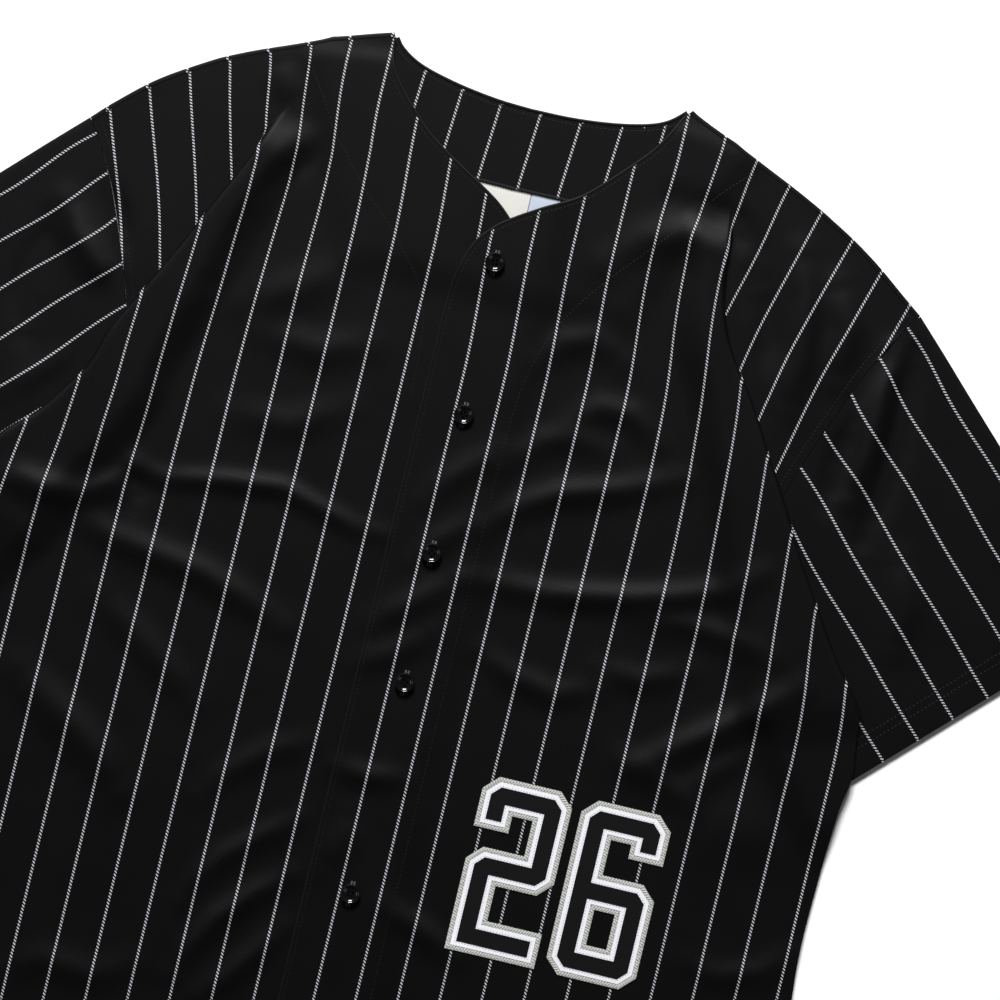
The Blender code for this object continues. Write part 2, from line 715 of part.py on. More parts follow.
def make_front(side):
    name = "front_left" if side > 0 else "front_right"
    outline = front_outline(side)
    lines = [straight((x, HEM_LINE), (x, -60.0)) for x in OVERLAP_LINES] if side > 0 else []
    solid = wall(outline,
                 lambda x, y: SKIN + front_raise(x, y, side),
                 lambda x, y: OUTER + front_raise(x, y, side),
                 mesh=flat_mesh(outline, ridged=True, lines=lines))
    return solid.build(name, BLACK_CLOTH, CLOTH_ROUGHNESS)


def make_sleeve(side):
    """A sleeve is one piece, folded along its top: two layers joined by a round edge."""
    outline = sleeve_outline(side)
    verts, faces = flat_mesh(outline, ridged=True)
    x = np.array([v.x for v in verts])
    y = np.array([v.y for v in verts])
    edge = edge_distance(x, y, outline[0])
    raised = ridge_height(x, y) * smooth(edge / 14.0)
    solid = Solid()
    top = solid.add(verts, OUTER + raised)
    top_inner = solid.add(verts, SKIN + raised)
    under_inner = solid.add(verts, np.full(x.shape, -SKIN))
    under = solid.add(verts, np.full(x.shape, -OUTER))
    for numbers, up in ((top, True), (top_inner, False), (under_inner, True), (under, False)):
        solid.sheet(numbers, faces, up)
    plain, wrapped, starts, ends = split_border(verts, faces, outline, "top")
    for a, b in plain:
        solid.band([top_inner[a], top[a]], [top_inner[b], top[b]])
        solid.band([under[a], under_inner[a]], [under[b], under_inner[b]])
    outward = corner_normals(verts, wrapped)
    outer = folded_columns(solid, verts, outward, round_edge(OUTER, EDGE_TURNS))
    outer = {i: [under[i]] + column + [top[i]] for i, column in outer.items()}
    inner = folded_columns(solid, verts, outward, [(SKIN, 0.0)])
    inner = {i: [top_inner[i]] + column + [under_inner[i]] for i, column in inner.items()}
    for a, b in wrapped:
        solid.band(outer[a], outer[b])
        solid.band(inner[a], inner[b])
    for i in starts:
        solid.faces.append(outer[i] + inner[i])
    for i in ends:
        solid.faces.append((outer[i] + inner[i])[::-1])
    name = "sleeve_left" if side > 0 else "sleeve_right"
    return solid.build(name, BLACK_CLOTH, CLOTH_ROUGHNESS)


def make_facing():
    right = chain(FACING[1], step=24.0)
    left = chain(FACING[-1], step=24.0, side=-1)
    outline = ring(("edge", right[::-1]), ("edge", left))
    solid = wall(outline, level(SKIN), level(OUTER), mesh=flat_mesh(outline, folded=False, grid=False))
    return solid.build("back_neck_facing", BLACK_CLOTH, CLOTH_ROUGHNESS)


def make_label(name, box, colour):
    left, low, right, high = box
    corners = [Vector(p) for p in ((left, low), (right, low), (right, high), (left, high))]
    outline = (corners, ["edge"] * 4)
    solid = wall(outline, level(SKIN), level(SKIN + LABEL_WALL),
                 mesh=flat_mesh(outline, folded=False, grid=False))
    return solid.build(name, colour, 0.7)


def make_piping(name, path, outward, height, centre):
    """A narrow rolled edge that runs beside a cut edge."""
    solid = Solid()
    columns = []
    for i in range(PIPING_SIDES):
        angle = tau * i / PIPING_SIDES
        flat = [p + n * (PIPING_WIDTH / 2 * cos(angle)) for p, n in zip(path, outward)]
        columns.append(solid.add(flat, centre + height / 2 * sin(angle)))
    rings = list(zip(*columns))
    for start, end in zip(rings, rings[1:]):
        for i in range(PIPING_SIDES):
            j = (i + 1) % PIPING_SIDES
            solid.faces.append([start[i], end[i], end[j], start[j]])
    solid.faces.append(list(rings[0]))
    solid.faces.append(list(rings[-1])[::-1])
    return solid.build(name, (0.006, 0.006, 0.007), 0.5)


def path_normals(path, side):
    """Directions that move a path square to its stretches, to its right for side 1."""
    squares = []
    for start, end in zip(path, path[1:]):
        run = (end - start).normalized()
        squares.append(Vector((run.y, -run.x)) * side)
    pairs = zip([squares[0]] + squares, squares + [squares[-1]])
    return [(a + b) / (1 + a.dot(b)) for a, b in pairs]


def trimmed(path, start, end):
    """Leave out a length of a path at each end."""
    while (path[1] - path[0]).length < start:
        start -= (path[1] - path[0]).length
        path = path[1:]
    path = [path[0] + (path[1] - path[0]).normalized() * start] + path[1:]
    return path if not end else trimmed(path[::-1], end, 0)[::-1]


def make_front_piping(side):
    """From the shoulder along the neck, then straight down the placket to the hem."""
    path = chain(FRONT_NECK[side], side=side)[:-1]
    path += straight((PLACKET_EDGE * side, PLACKET_START), (PLACKET_EDGE * side, HEM_LINE))
    outward = path_normals(path, side)
    path = [p - n * (PIPING_WIDTH / 2) for p, n in zip(path, outward)]
    path = trimmed(path, OUTER + SHOULDER_WRAP + 3 * SEAM, 0)
    outward = path_normals(path, side)
    x = np.array([p.x for p in path])
    y = np.array([p.y for p in path])
    centre = SKIN + PIPING_HEIGHT / 2 + front_raise(x, y, side)
    name = "piping_left" if side > 0 else "piping_right"
    if side < 0:
        path, outward, centre = path[::-1], outward[::-1], centre[::-1]
    return make_piping(name, path, outward, PIPING_HEIGHT, centre)


def make_back_piping():
    right = chain(BACK_NECK[1])
    left = chain(BACK_NECK[-1], side=-1)
    path = left[::-1][:-1] + right
    outward = [-n for n in path_normals(path, 1)]
    path = [p - n * (PIPING_WIDTH / 2) for p, n in zip(path, outward)]
    path = trimmed(path, 3.0, 3.0)
    outward = [-n for n in path_normals(path, 1)]
    height = WALL
    centre = np.full(len(path), -OUTER + height / 2)
    return make_piping("piping_back", path[::-1], outward[::-1], height, centre)


def make_button(number, spot):
    """A round button turned from a profile, with a raised rim and a dished middle."""
    base = OUTER + SEAM + float(front_raise(np.array([spot.across]), np.array([spot.along]), 1)[0])
    base += 0.4
    profile = [(0.0, 0.9), (0.42, 1.0), (0.66, 1.9), (0.8, BUTTON_HEIGHT), (0.92, 2.4),
               (1.0, 1.5), (0.82, 0.0)]
    floor = FLOOR_TO_MIDDLE + base
    shape = bmesh.new()
    rings = []
    for part, high in profile:
        ring_verts = []
        for i in range(BUTTON_SIDES if part else 1):
            angle = tau * i / BUTTON_SIDES
            x = spot.across + BUTTON_RADIUS * part * cos(angle) - MIDDLE_ACROSS
            y = spot.along + BUTTON_RADIUS * part * sin(angle) - MIDDLE_ALONG
            ring_verts.append(shape.verts.new((x * MM, y * MM, (floor + high) * MM)))
        rings.append(ring_verts)
    for i in range(BUTTON_SIDES):
        j = (i + 1) % BUTTON_SIDES
        shape.faces.new((rings[0][0], rings[1][i], rings[1][j]))
        for start, end in zip(rings[1:], rings[2:]):
            shape.faces.new((start[i], end[i], end[j], start[j]))
    shape.faces.new(list(reversed(rings[-1])))
    name = f"button_{number}"
    mesh = bpy.data.meshes.new(name)
    shape.to_mesh(mesh)
    shape.free()
    mesh.shade_smooth()
    mesh.set_sharp_from_angle(angle=radians(40))
    mesh.materials.append(finish(name, (0.006, 0.006, 0.006), 0.18))
    piece = bpy.data.objects.new(name, mesh)
    bpy.context.collection.objects.link(piece)
    return piece


def digit_shape(digit):
    """The outline of a block digit and its holes, from its width, height and stroke."""
    w, h, s, c = DIGIT_WIDTH, DIGIT_HEIGHT, DIGIT_STROKE, DIGIT_CORNER
    mid_low = (h - s) / 2
    mid_high = (h + s) / 2
    if digit == "2":
        rows = [(0, 0), (w, 0), (w, s), (s, s), (s, mid_low), (w - c, mid_low), (w, mid_low + c),
                (w, h - c), (w - c, h), (c, h), (0, h - c), (0, h - 1.5 * s), (s, h - 1.5 * s),
                (s, h - s), (w - s, h - s), (w - s, mid_high), (c, mid_high), (0, mid_high - c)]
        return rows, []
    rows = [(c, 0), (w - c, 0), (w, c), (w, mid_high - c), (w - c, mid_high), (s, mid_high),
            (s, h - s), (w - s, h - s), (w - s, h - 1.4 * s), (w, h - 1.4 * s), (w, h - c),
            (w - c, h), (c, h), (0, h - c), (0, c)]
    hole = [(s, s), (w - s, s), (w - s, mid_low), (s, mid_low)]
    return rows, [hole]


def make_digit(digit):
    left, low = DIGIT_PLACES[digit]
    rows, holes = digit_shape(digit)
    points = [Vector((left + x, low + y)) for x, y in rows]
    holes = [[Vector((left + x, low + y)) for x, y in hole] for hole in holes]
    outline = (points, ["edge"] * len(points))
    base = OUTER + SEAM
    solid = wall(outline, level(base), level(base + DIGIT_WALL),
                 mesh=flat_mesh(outline, folded=False, grid=False, holes=holes))
    return solid.build(f"number_{digit}", (0.01, 0.01, 0.012), 0.7)


def clear_scene():
    for thing in list(bpy.data.objects):
        bpy.data.objects.remove(thing, do_unlink=True)


def make_jersey():
    clear_scene()
    make_back()
    make_facing()
    make_label("neck_label", LABEL_BOX, (0.86, 0.85, 0.82))
    make_label("size_tab", SIZE_TAB_BOX, (0.72, 0.75, 0.82))
    for side in (-1, 1):
        make_front(side)
        make_front_piping(side)
        make_sleeve(side)
    make_back_piping()
    for number, spot in enumerate(BUTTONS, start=1):
        make_button(number, spot)
    for digit in DIGIT_PLACES:
        make_digit(digit)


make_jersey()
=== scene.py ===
# %% [markdown]
# # A pinstriped baseball jersey, laid flat on its back
#
# This lesson dresses the plain solids of a short-sleeved jersey. The jersey is cut from flat pieces of
# black polyester, and it lies on a pale floor with both arms turned down a little. Each piece of cloth
# is a thin shell that follows the same folds as its solid, with many more faces and creases.
# Lengths are in millimetres until a mesh is made, and then they become metres.

# %% Load the frame
from collections import namedtuple
from math import ceil, cos, pi, radians, sin, tau

import bpy
import numpy as np
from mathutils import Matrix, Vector
from mathutils.geometry import delaunay_2d_cdt


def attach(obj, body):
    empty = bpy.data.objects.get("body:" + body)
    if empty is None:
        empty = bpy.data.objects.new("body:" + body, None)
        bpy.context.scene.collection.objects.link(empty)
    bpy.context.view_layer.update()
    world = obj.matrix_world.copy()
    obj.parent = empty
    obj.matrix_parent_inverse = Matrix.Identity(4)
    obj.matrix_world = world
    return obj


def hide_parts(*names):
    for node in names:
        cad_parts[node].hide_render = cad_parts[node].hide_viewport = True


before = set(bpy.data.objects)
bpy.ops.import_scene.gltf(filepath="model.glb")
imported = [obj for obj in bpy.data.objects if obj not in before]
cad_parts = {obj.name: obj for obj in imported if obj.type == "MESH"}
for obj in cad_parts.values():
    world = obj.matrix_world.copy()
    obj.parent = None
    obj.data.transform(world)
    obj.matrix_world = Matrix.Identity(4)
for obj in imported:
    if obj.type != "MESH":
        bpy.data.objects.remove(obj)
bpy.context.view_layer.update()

MM = 0.001

# %% [markdown]
# ## The cut and the lie
#
# A tailor knows two places for each point: where it is on the flat cut, and where it lies when the
# garment is spread out. The first pair of numbers is called across and along. One function, laid(),
# gives the second from the first, so stripes and seams drawn on the cut land where the cloth goes.
# Cloth can't stretch, so turning an arm down makes a knife fold under it. The fold grows with the
# distance from a pivot near the neck, and the body lies on top of the arm.

# %% Sizes of the cloth and its knife folds
WALL = 1.0
SEAM = 0.3
SKIN = SEAM / 2
OUTER = SKIN + WALL
FLOOR_TO_MIDDLE = OUTER
MIDDLE_ALONG = -371.52

ARM_TURN = radians(16.5)
BEND = 1.45
RAMP = 25.0
SOFT_REACH = 95.0
SOFT_TURN = radians(75.0)
STRIP_COVER = 5.0
STRIP_MOST = 45.0
SOFT_LEAD = 16.0
SOFT_FADE = (300.0, 400.0)
NUDGE = 0.02
BODY_ON_SLEEVE = (356.0, 385.0, 425.0, 462.0)
SLEEVE_LIFT = 0.6

Spot = namedtuple("Spot", "across along")
Crease = namedtuple("Crease", "radius degrees")
Fold = namedtuple("Fold", "side pivot_across pivot_along start creases")
Ridge = namedtuple("Ridge", "height width spots")

FOLDS = {
    1: Fold(1, 130.0, -9.0, 61.0, [
        Crease(0, -84.5), Crease(60, -84.5), Crease(101, -83.6), Crease(122, -81.6),
        Crease(165, -75.0), Crease(203, -71.9), Crease(234, -70.1), Crease(267, -68.9),
        Crease(300, -67.6), Crease(333, -66.5), Crease(358, -65.4), Crease(400, -64.0),
        Crease(900, -60.0)]),
    -1: Fold(-1, 130.0, -9.0, 67.0, [
        Crease(0, -72.0), Crease(80, -71.0), Crease(122, -69.0), Crease(153, -68.3),
        Crease(202, -67.1), Crease(229, -66.7), Crease(255, -67.3), Crease(271, -66.7),
        Crease(295, -65.7), Crease(319, -64.0), Crease(345, -63.4), Crease(400, -62.0),
        Crease(900, -60.0)]),
}


# %% From the cut to the place where it lies
def smooth(value):
    """Run from 0 to 1 with level ends."""
    part = np.clip(value, 0.0, 1.0)
    return part * part * (3.0 - 2.0 * part)


def rise(value, low, high):
    """Run from 0 at the low value to 1 at the high one."""
    return smooth((value - low) / (high - low))


def table_curve(value, keys, rows):
    """A smooth curve through a table's rows."""
    keys = np.asarray(keys, float)
    rows = np.asarray(rows, float)
    slopes = np.gradient(rows, keys)
    place = np.clip(np.searchsorted(keys, value) - 1, 0, len(keys) - 2)
    width = keys[place + 1] - keys[place]
    part = np.clip((value - keys[place]) / width, 0.0, 1.0)
    low, high = rows[place], rows[place + 1]
    start, end = slopes[place] * width, slopes[place + 1] * width
    return ((2 * part ** 3 - 3 * part ** 2 + 1) * low + (part ** 3 - 2 * part ** 2 + part) * start
            + (3 * part ** 2 - 2 * part ** 3) * high + (part ** 3 - part ** 2) * end)


def fold_sizes(radius, fold):
    """The knife fold's sizes at a distance from its pivot: part is soft, and the rest is folded."""
    full = fold.start + 2 * pi * BEND / ARM_TURN
    begin = fold.start - SOFT_LEAD
    part = np.clip((radius - begin) / (full - begin), 1e-4, 1.0)
    turn = pi * part
    height = 2 * BEND * (1 - np.cos(pi * np.clip(1.5 * part, 0.0, 1.0)))
    bend = height / (2 * (1 - np.cos(turn)))
    taken = 2 * bend * (turn - np.sin(turn))
    soft_full = ARM_TURN * fold.start * (1 - rise(radius, *SOFT_FADE))
    beyond = radius > full
    soft = np.where(beyond, soft_full, ARM_TURN * radius - taken)
    taken = np.where(beyond, ARM_TURN * radius - soft_full, taken)
    strip = np.where(beyond, np.maximum(taken - 2 * pi * BEND, 0.0) / 2, 0.0)
    crease = np.radians(table_curve(radius, [c.radius for c in fold.creases],
                                    [c.degrees for c in fold.creases]))
    first, second, third, last = BODY_ON_SLEEVE
    over = (1 - (1 - SLEEVE_LIFT) * rise(radius, first, second)
            - SLEEVE_LIFT * rise(radius, third, last))
    return dict(turn=turn, height=height, bend=bend, taken=taken, soft=soft / radius,
                strip=strip, crease=crease, over=over,
                cover=np.minimum(strip, STRIP_MOST) + bend + STRIP_COVER)


def soft_share(angle, radius):
    """How much of the soft turn has been passed, from 0 on the body to 1 on the arm."""
    reach = np.minimum(SOFT_TURN, SOFT_REACH / radius)
    return smooth((angle / reach + 1) / 2)


def arc_from_crease(across, along, fold):
    """Polar place of a flat point: its radius, the fold's sizes, and its arc from the crease."""
    x = across * fold.side - fold.pivot_across
    y = along - fold.pivot_along
    radius = np.maximum(np.hypot(x, y), 0.5)
    sizes = fold_sizes(radius, fold)
    angle = np.arctan2(y, x) - sizes["crease"] - sizes["soft"] / 2
    angle = (angle + pi) % tau - pi
    arc = radius * (angle - sizes["soft"] * (soft_share(angle, radius) - 0.5))
    return radius, sizes, arc


def fold_section(arc, sizes):
    """The fold in section: how far from the crease, and how high, a point comes to lie."""
    turn, bend, strip, taken = (sizes[k] for k in ("turn", "bend", "strip", "taken"))
    height = sizes["height"]
    lift = height * sizes["over"] * (1 - smooth((-arc - sizes["cover"]) / RAMP))
    reach = bend * turn
    first = np.clip(arc / bend, 0.0, turn)
    straight_part = np.clip(arc - reach, 0.0, strip)
    second = np.clip((arc - reach - strip) / bend, 0.0, turn)
    out = bend * np.sin(first) + straight_part * np.cos(turn)
    out = out + bend * (np.sin(turn) - np.sin(turn - second))
    down = bend * (1 - np.cos(first)) + straight_part * np.sin(turn)
    down = down + bend * (np.cos(turn - second) - np.cos(turn))
    before = arc < 0
    beyond = arc > 2 * reach + strip
    out = np.where(before, arc, np.where(beyond, arc - taken, out))
    high = np.where(before, lift, np.where(beyond, 0.0, height - down))
    return out, high


def middle(across, along):
    """Where the middle of the double cloth lies, for flat points."""
    across = np.asarray(across, float)
    along = np.asarray(along, float)
    place = np.zeros(across.shape + (3,))
    for fold in FOLDS.values():
        mine = across * fold.side >= 0
        radius, sizes, arc = arc_from_crease(across[mine], along[mine], fold)
        out, high = fold_section(arc, sizes)
        angle = sizes["crease"] + out / radius
        place[mine, 0] = fold.side * (fold.pivot_across + radius * np.cos(angle))
        place[mine, 1] = fold.pivot_along + radius * np.sin(angle)
        place[mine, 2] = high
    return place


def laid(across, along, level):
    """Where a point lies that is level mm above the middle of the double cloth."""
    across = np.asarray(across, float)
    along = np.asarray(along, float)
    nudge = np.where(across >= 0, NUDGE, -NUDGE)
    place = middle(across, along)
    run_x = (middle(across + nudge, along) - place) / nudge[..., None]
    run_y = middle(across, along + NUDGE) - middle(across, along - NUDGE)
    normal = np.cross(run_x, run_y)
    normal /= np.linalg.norm(normal, axis=-1)[..., None]
    place = place + normal * np.asarray(level, float)[..., None]
    place[..., 1] -= MIDDLE_ALONG
    place[..., 2] += FLOOR_TO_MIDDLE
    return place


print("the neck point lies at", laid([96.0], [0.0], [OUTER])[0].round(1), "mm")

# %% [markdown]
# ## Creases
#
# A jersey that was folded and shaken out keeps soft ridges. They could be simulated, but the ones here
# are listed along short paths, because their places, lengths and depths are known. Each ridge
# rises smoothly to its line and fades at both ends. A knife fold is pressed flat, so ridges stop there.

# %% The creases of the upper layer
RIDGES = [
    Ridge(2.6, 9, [Spot(-269, -317), Spot(-242, -322), Spot(-217, -320), Spot(-199, -309),
                Spot(-192, -295)]),
    Ridge(1.7, 6, [Spot(-188, -297), Spot(-166, -299), Spot(-130, -292), Spot(-95, -288), Spot(-74, -294),
                Spot(-47, -301), Spot(-28, -302)]),
    Ridge(-1.2, 6, [Spot(-190, -300), Spot(-180, -309), Spot(-181, -320)]),
    Ridge(1.9, 9, [Spot(-220, -332), Spot(-193, -342), Spot(-165, -346), Spot(-132, -351),
                Spot(-104, -360), Spot(-75, -372)]),
    Ridge(1.3, 10, [Spot(-189, -380), Spot(-167, -394), Spot(-139, -414), Spot(-119, -430)]),
    Ridge(2.2, 12, [Spot(-228, -435), Spot(-197, -456), Spot(-170, -475), Spot(-150, -494)]),
    Ridge(1.2, 8, [Spot(-101, -486), Spot(-88, -469), Spot(-64, -448), Spot(-40, -437)]),
    Ridge(1.6, 7, [Spot(-96, -552), Spot(-89, -535), Spot(-76, -518), Spot(-57, -501), Spot(-37, -485)]),
    Ridge(2.0, 7, [Spot(-91, -597), Spot(-84, -578), Spot(-72, -557), Spot(-54, -538), Spot(-34, -520)]),
    Ridge(1.7, 7, [Spot(-72, -606), Spot(-58, -592), Spot(-45, -574), Spot(-31, -553)]),
    Ridge(1.2, 9, [Spot(-196, -620), Spot(-171, -607), Spot(-140, -610), Spot(-115, -596)]),
    Ridge(1.2, 8, [Spot(-7, -275), Spot(5, -259), Spot(20, -244), Spot(31, -234)]),
    Ridge(1.0, 7, [Spot(-5, -313), Spot(7, -297), Spot(23, -281)]),
    Ridge(1.3, 8, [Spot(-21, -356), Spot(1, -338), Spot(22, -320)]),
    Ridge(1.1, 8, [Spot(-27, -384), Spot(-4, -372), Spot(14, -354)]),
    Ridge(1.0, 10, [Spot(-15, -510), Spot(-7, -489), Spot(-6, -476)]),
    Ridge(1.3, 7, [Spot(-23, -448), Spot(-5, -450), Spot(21, -446)]),
    Ridge(1.7, 8, [Spot(27, -525), Spot(52, -535), Spot(77, -547)]),
    Ridge(1.4, 9, [Spot(42, -175), Spot(54, -160), Spot(72, -153), Spot(91, -162)]),
    Ridge(1.4, 8, [Spot(68, -207), Spot(86, -194), Spot(105, -194), Spot(124, -207)]),
    Ridge(1.2, 8, [Spot(36, -244), Spot(56, -222), Spot(73, -216), Spot(95, -219)]),
    Ridge(1.8, 8, [Spot(31, -285), Spot(51, -265), Spot(73, -252), Spot(109, -241), Spot(146, -225)]),
    Ridge(2.2, 8, [Spot(31, -316), Spot(50, -315), Spot(82, -314), Spot(129, -305), Spot(162, -296),
                Spot(188, -286), Spot(208, -269)]),
    Ridge(1.4, 8, [Spot(139, -315), Spot(170, -312), Spot(200, -315), Spot(225, -320)]),
    Ridge(1.4, 8, [Spot(47, -358), Spot(73, -369), Spot(98, -374), Spot(126, -364)]),
    Ridge(2.4, 9, [Spot(155, -407), Spot(182, -388), Spot(207, -369), Spot(228, -351), Spot(247, -333)]),
    Ridge(1.2, 8, [Spot(120, -351), Spot(148, -353), Spot(177, -341)]),
    Ridge(1.4, 9, [Spot(148, -401), Spot(175, -410), Spot(196, -420)]),
    Ridge(1.1, 8, [Spot(194, -414), Spot(207, -397), Spot(223, -383)]),
    Ridge(1.3, 20, [Spot(205, -428), Spot(230, -429), Spot(256, -434)]),
    Ridge(1.3, 8, [Spot(219, -516), Spot(239, -520), Spot(263, -512), Spot(281, -494)]),
    Ridge(2.0, 11, [Spot(68, -106), Spot(88, -86), Spot(114, -77), Spot(131, -87), Spot(143, -111),
                Spot(158, -140), Spot(179, -173)]),
    Ridge(-1.8, 9, [Spot(100, -58), Spot(120, -61), Spot(140, -66), Spot(152, -80), Spot(155, -108)]),
    Ridge(2.1, 9, [Spot(183, -70), Spot(194, -99), Spot(199, -136), Spot(197, -169)]),
    Ridge(-1.2, 8, [Spot(165, -96), Spot(175, -129), Spot(174, -161)]),
    Ridge(2.0, 9, [Spot(211, -85), Spot(223, -111), Spot(223, -143)]),
    Ridge(-1.9, 7, [Spot(267, -114), Spot(268, -145), Spot(269, -177), Spot(267, -209), Spot(262, -236)]),
    Ridge(2.6, 8, [Spot(253, -117), Spot(253, -149), Spot(253, -181), Spot(249, -214)]),
    Ridge(-1.5, 7, [Spot(238, -168), Spot(237, -194), Spot(235, -220)]),
    Ridge(1.4, 9, [Spot(288, -243), Spot(298, -272), Spot(299, -297)]),
    Ridge(-1.8, 9, [Spot(-132, -88), Spot(-149, -99), Spot(-160, -120), Spot(-164, -147),
                Spot(-168, -172)]),
    Ridge(1.1, 9, [Spot(-157, -68), Spot(-159, -94), Spot(-163, -118)]),
    Ridge(0.9, 10, [Spot(-158, -31), Spot(-153, -43), Spot(-145, -55)]),
    Ridge(1.2, 12, [Spot(-145, -182), Spot(-114, -165), Spot(-88, -146)]),
    Ridge(1.2, 10, [Spot(-130, -197), Spot(-93, -200), Spot(-62, -189)]),
    Ridge(1.1, 10, [Spot(-138, -250), Spot(-100, -249), Spot(-66, -230)]),
    Ridge(2.4, 10, [Spot(-268, -146), Spot(-255, -165), Spot(-241, -179), Spot(-223, -187)]),
    Ridge(-1.7, 9, [Spot(-273, -233), Spot(-279, -206), Spot(-275, -180), Spot(-268, -160)]),
    Ridge(-1.3, 6, [Spot(-246, -132), Spot(-234, -147), Spot(-227, -163)]),
    Ridge(1.3, 9, [Spot(-274, -269), Spot(-252, -252), Spot(-231, -233)]),
]
LOWEST_DIP = -1.1
CREASE_DEPTH = 1.4
RIDGE_END = 0.06
RIDGE_TAPER = 0.6
FOLD_CLEAR = 6.0
STRIP_CLEAR = 8.0
FOLD_FADE = 22.0
FOLD_BEGINS = (50.0, 80.0)
FOLD_IS_OVER = (380.0, 430.0)
OVERLAP_LINES = (27.0, 47.0)
OVERLAP_RAISE = 1.5
NECK_RAISE = 1.4
NECK_HALF = 96.0
SHOULDER_FALL = 0.12
RAISE_SIDE = 142.0
RAISE_SPREAD = 0.45
RAISE_FOOT = 128.0
RAISE_FADE = 25.0
RAISE_TOP = (5.0, 18.0)


def fold_mask(across, along):
    """1 on the open cloth and 0 where it is bent into a knife fold."""
    mask = np.ones(across.shape)
    for fold in FOLDS.values():
        mine = across * fold.side >= 0
        radius, sizes, arc = arc_from_crease(across[mine], along[mine], fold)
        end = 2 * sizes["bend"] * sizes["turn"] + sizes["strip"]
        clear = smooth((-arc - FOLD_CLEAR) / FOLD_FADE)
        clear += smooth((arc - end - sizes["strip"] - STRIP_CLEAR) / FOLD_FADE)
        apart = 1 - rise(radius, *FOLD_BEGINS) * (1 - rise(radius, *FOLD_IS_OVER))
        mask[mine] = np.clip(clear + apart, 0.0, 1.0)
    return mask


def ridge_sum(place, ridges):
    """The height of a list of ridges at some laid places."""
    total = np.zeros(len(place))
    for ridge in ridges:
        spots = np.array(ridge.spots, float)
        steps = np.linalg.norm(np.diff(spots, axis=0), axis=1)
        passed = np.concatenate([[0.0], np.cumsum(steps)])
        best = np.full(len(place), 1e9)
        run = np.zeros(len(place))
        for i in range(len(steps)):
            side = (spots[i + 1] - spots[i]) / steps[i]
            dx = place[:, 0] - spots[i][0]
            dy = place[:, 1] - spots[i][1]
            part = np.clip(dx * side[0] + dy * side[1], 0.0, steps[i])
            gap = np.hypot(dx - part * side[0], dy - part * side[1])
            closer = gap < best
            best = np.where(closer, gap, best)
            run = np.where(closer, (passed[i] + part) / passed[-1], run)
        taper = np.sin(pi * np.clip(run, RIDGE_END, 1 - RIDGE_END)) ** RIDGE_TAPER
        total += ridge.height * taper * np.exp(-(best / ridge.width) ** 2)
    return total


def ridge_height(across, along):
    """The soft folds of the upper layer, read at the place where the cloth lies."""
    height = CREASE_DEPTH * ridge_sum(middle(across, along), RIDGES) * fold_mask(across, along)
    return np.maximum(height, LOWEST_DIP)


def neck_raise(across, along):
    """Room for the facing and labels that lie between the back and the fronts."""
    wide = np.abs(across)
    below_shoulder = -along - SHOULDER_FALL * np.maximum(wide - NECK_HALF, 0.0)
    reach = np.maximum(wide - RAISE_SIDE - RAISE_SPREAD * along, -along - RAISE_FOOT) / RAISE_FADE
    return NECK_RAISE * rise(below_shoulder, *RAISE_TOP) * smooth(1 - reach)


def front_raise(across, along, side):
    """How far a front lies above its lowest place; the left front also crosses the right one."""
    raised = neck_raise(across, along) + ridge_height(across, along)
    if side > 0:
        near, far = OVERLAP_LINES
        raised = raised + OVERLAP_RAISE * smooth((far - across) / (far - near))
    return raised


# %% [markdown]
# ## Outlines
#
# The pattern pieces are drawn for one half and mirrored for the other. A smooth curve runs through a
# few spots of each edge, the way a tailor joins marks with a curved ruler.

# %% Outlines of the flat pieces
BACK_NECK = {
    1: [Spot(0, -23.2), Spot(26, -22.6), Spot(51, -20), Spot(72, -15.6), Spot(85, -10), Spot(96, 0)],
    -1: [Spot(0, -23.2), Spot(20, -22.2), Spot(41, -19.5), Spot(57.5, -16.2), Spot(70, -12.8),
         Spot(79, -8.8), Spot(87, -3), Spot(91.5, 3.6)],
}
FRONT_NECK = {
    1: [Spot(96, 0), Spot(82.7, -25.5), Spot(67.4, -44), Spot(43.6, -67.8), Spot(20.4, -81.7),
        Spot(4.5, -91.8), Spot(-5, -99.2), Spot(-14.6, -110.6), Spot(-19.8, -123.3),
        Spot(-22.8, -136.8), Spot(-24.2, -155), Spot(-24.5, -175)],
    -1: [Spot(91.5, 3.6), Spot(89.5, -14), Spot(81.5, -27.5), Spot(70.3, -39.8), Spot(59, -50.8),
         Spot(46, -60), Spot(34.5, -67), Spot(23.5, -73.5), Spot(15.9, -78), Spot(5.3, -85),
         Spot(-4, -93.5), Spot(-12, -104), Spot(-18, -118), Spot(-22, -134), Spot(-24, -155),
         Spot(-24.5, -175)],
}
PLACKET_EDGE = -24.5
PLACKET_START = -175.0
HEM_LINE = -746.0
SHOULDER = {
    1: [Spot(96, 0), Spot(106, -5.2), Spot(130, -14.6), Spot(149, -17.6), Spot(182, -22),
        Spot(215, -28), Spot(242, -35.4), Spot(268, -45), Spot(283, -50.5)],
    -1: [Spot(91.5, 3.6), Spot(106, -0.8), Spot(130, -8.4), Spot(149, -11.6), Spot(182, -15.6),
         Spot(215, -21.8), Spot(242, -30), Spot(268, -42.2), Spot(283, -50.5)],
}
ARMHOLE = [Spot(283, -50.5), Spot(279, -62), Spot(273, -88.5), Spot(270, -111.6),
           Spot(267, -143), Spot(264.5, -172), Spot(263.5, -199), Spot(267, -232),
           Spot(277, -262), Spot(293, -286)]
SIDE = [Spot(293, -286), Spot(290, -310), Spot(288, -333), Spot(288, -361), Spot(290, -382),
        Spot(287, -402), Spot(285, -441), Spot(284, -492), Spot(287, -540), Spot(288, -610),
        Spot(285, -682)]
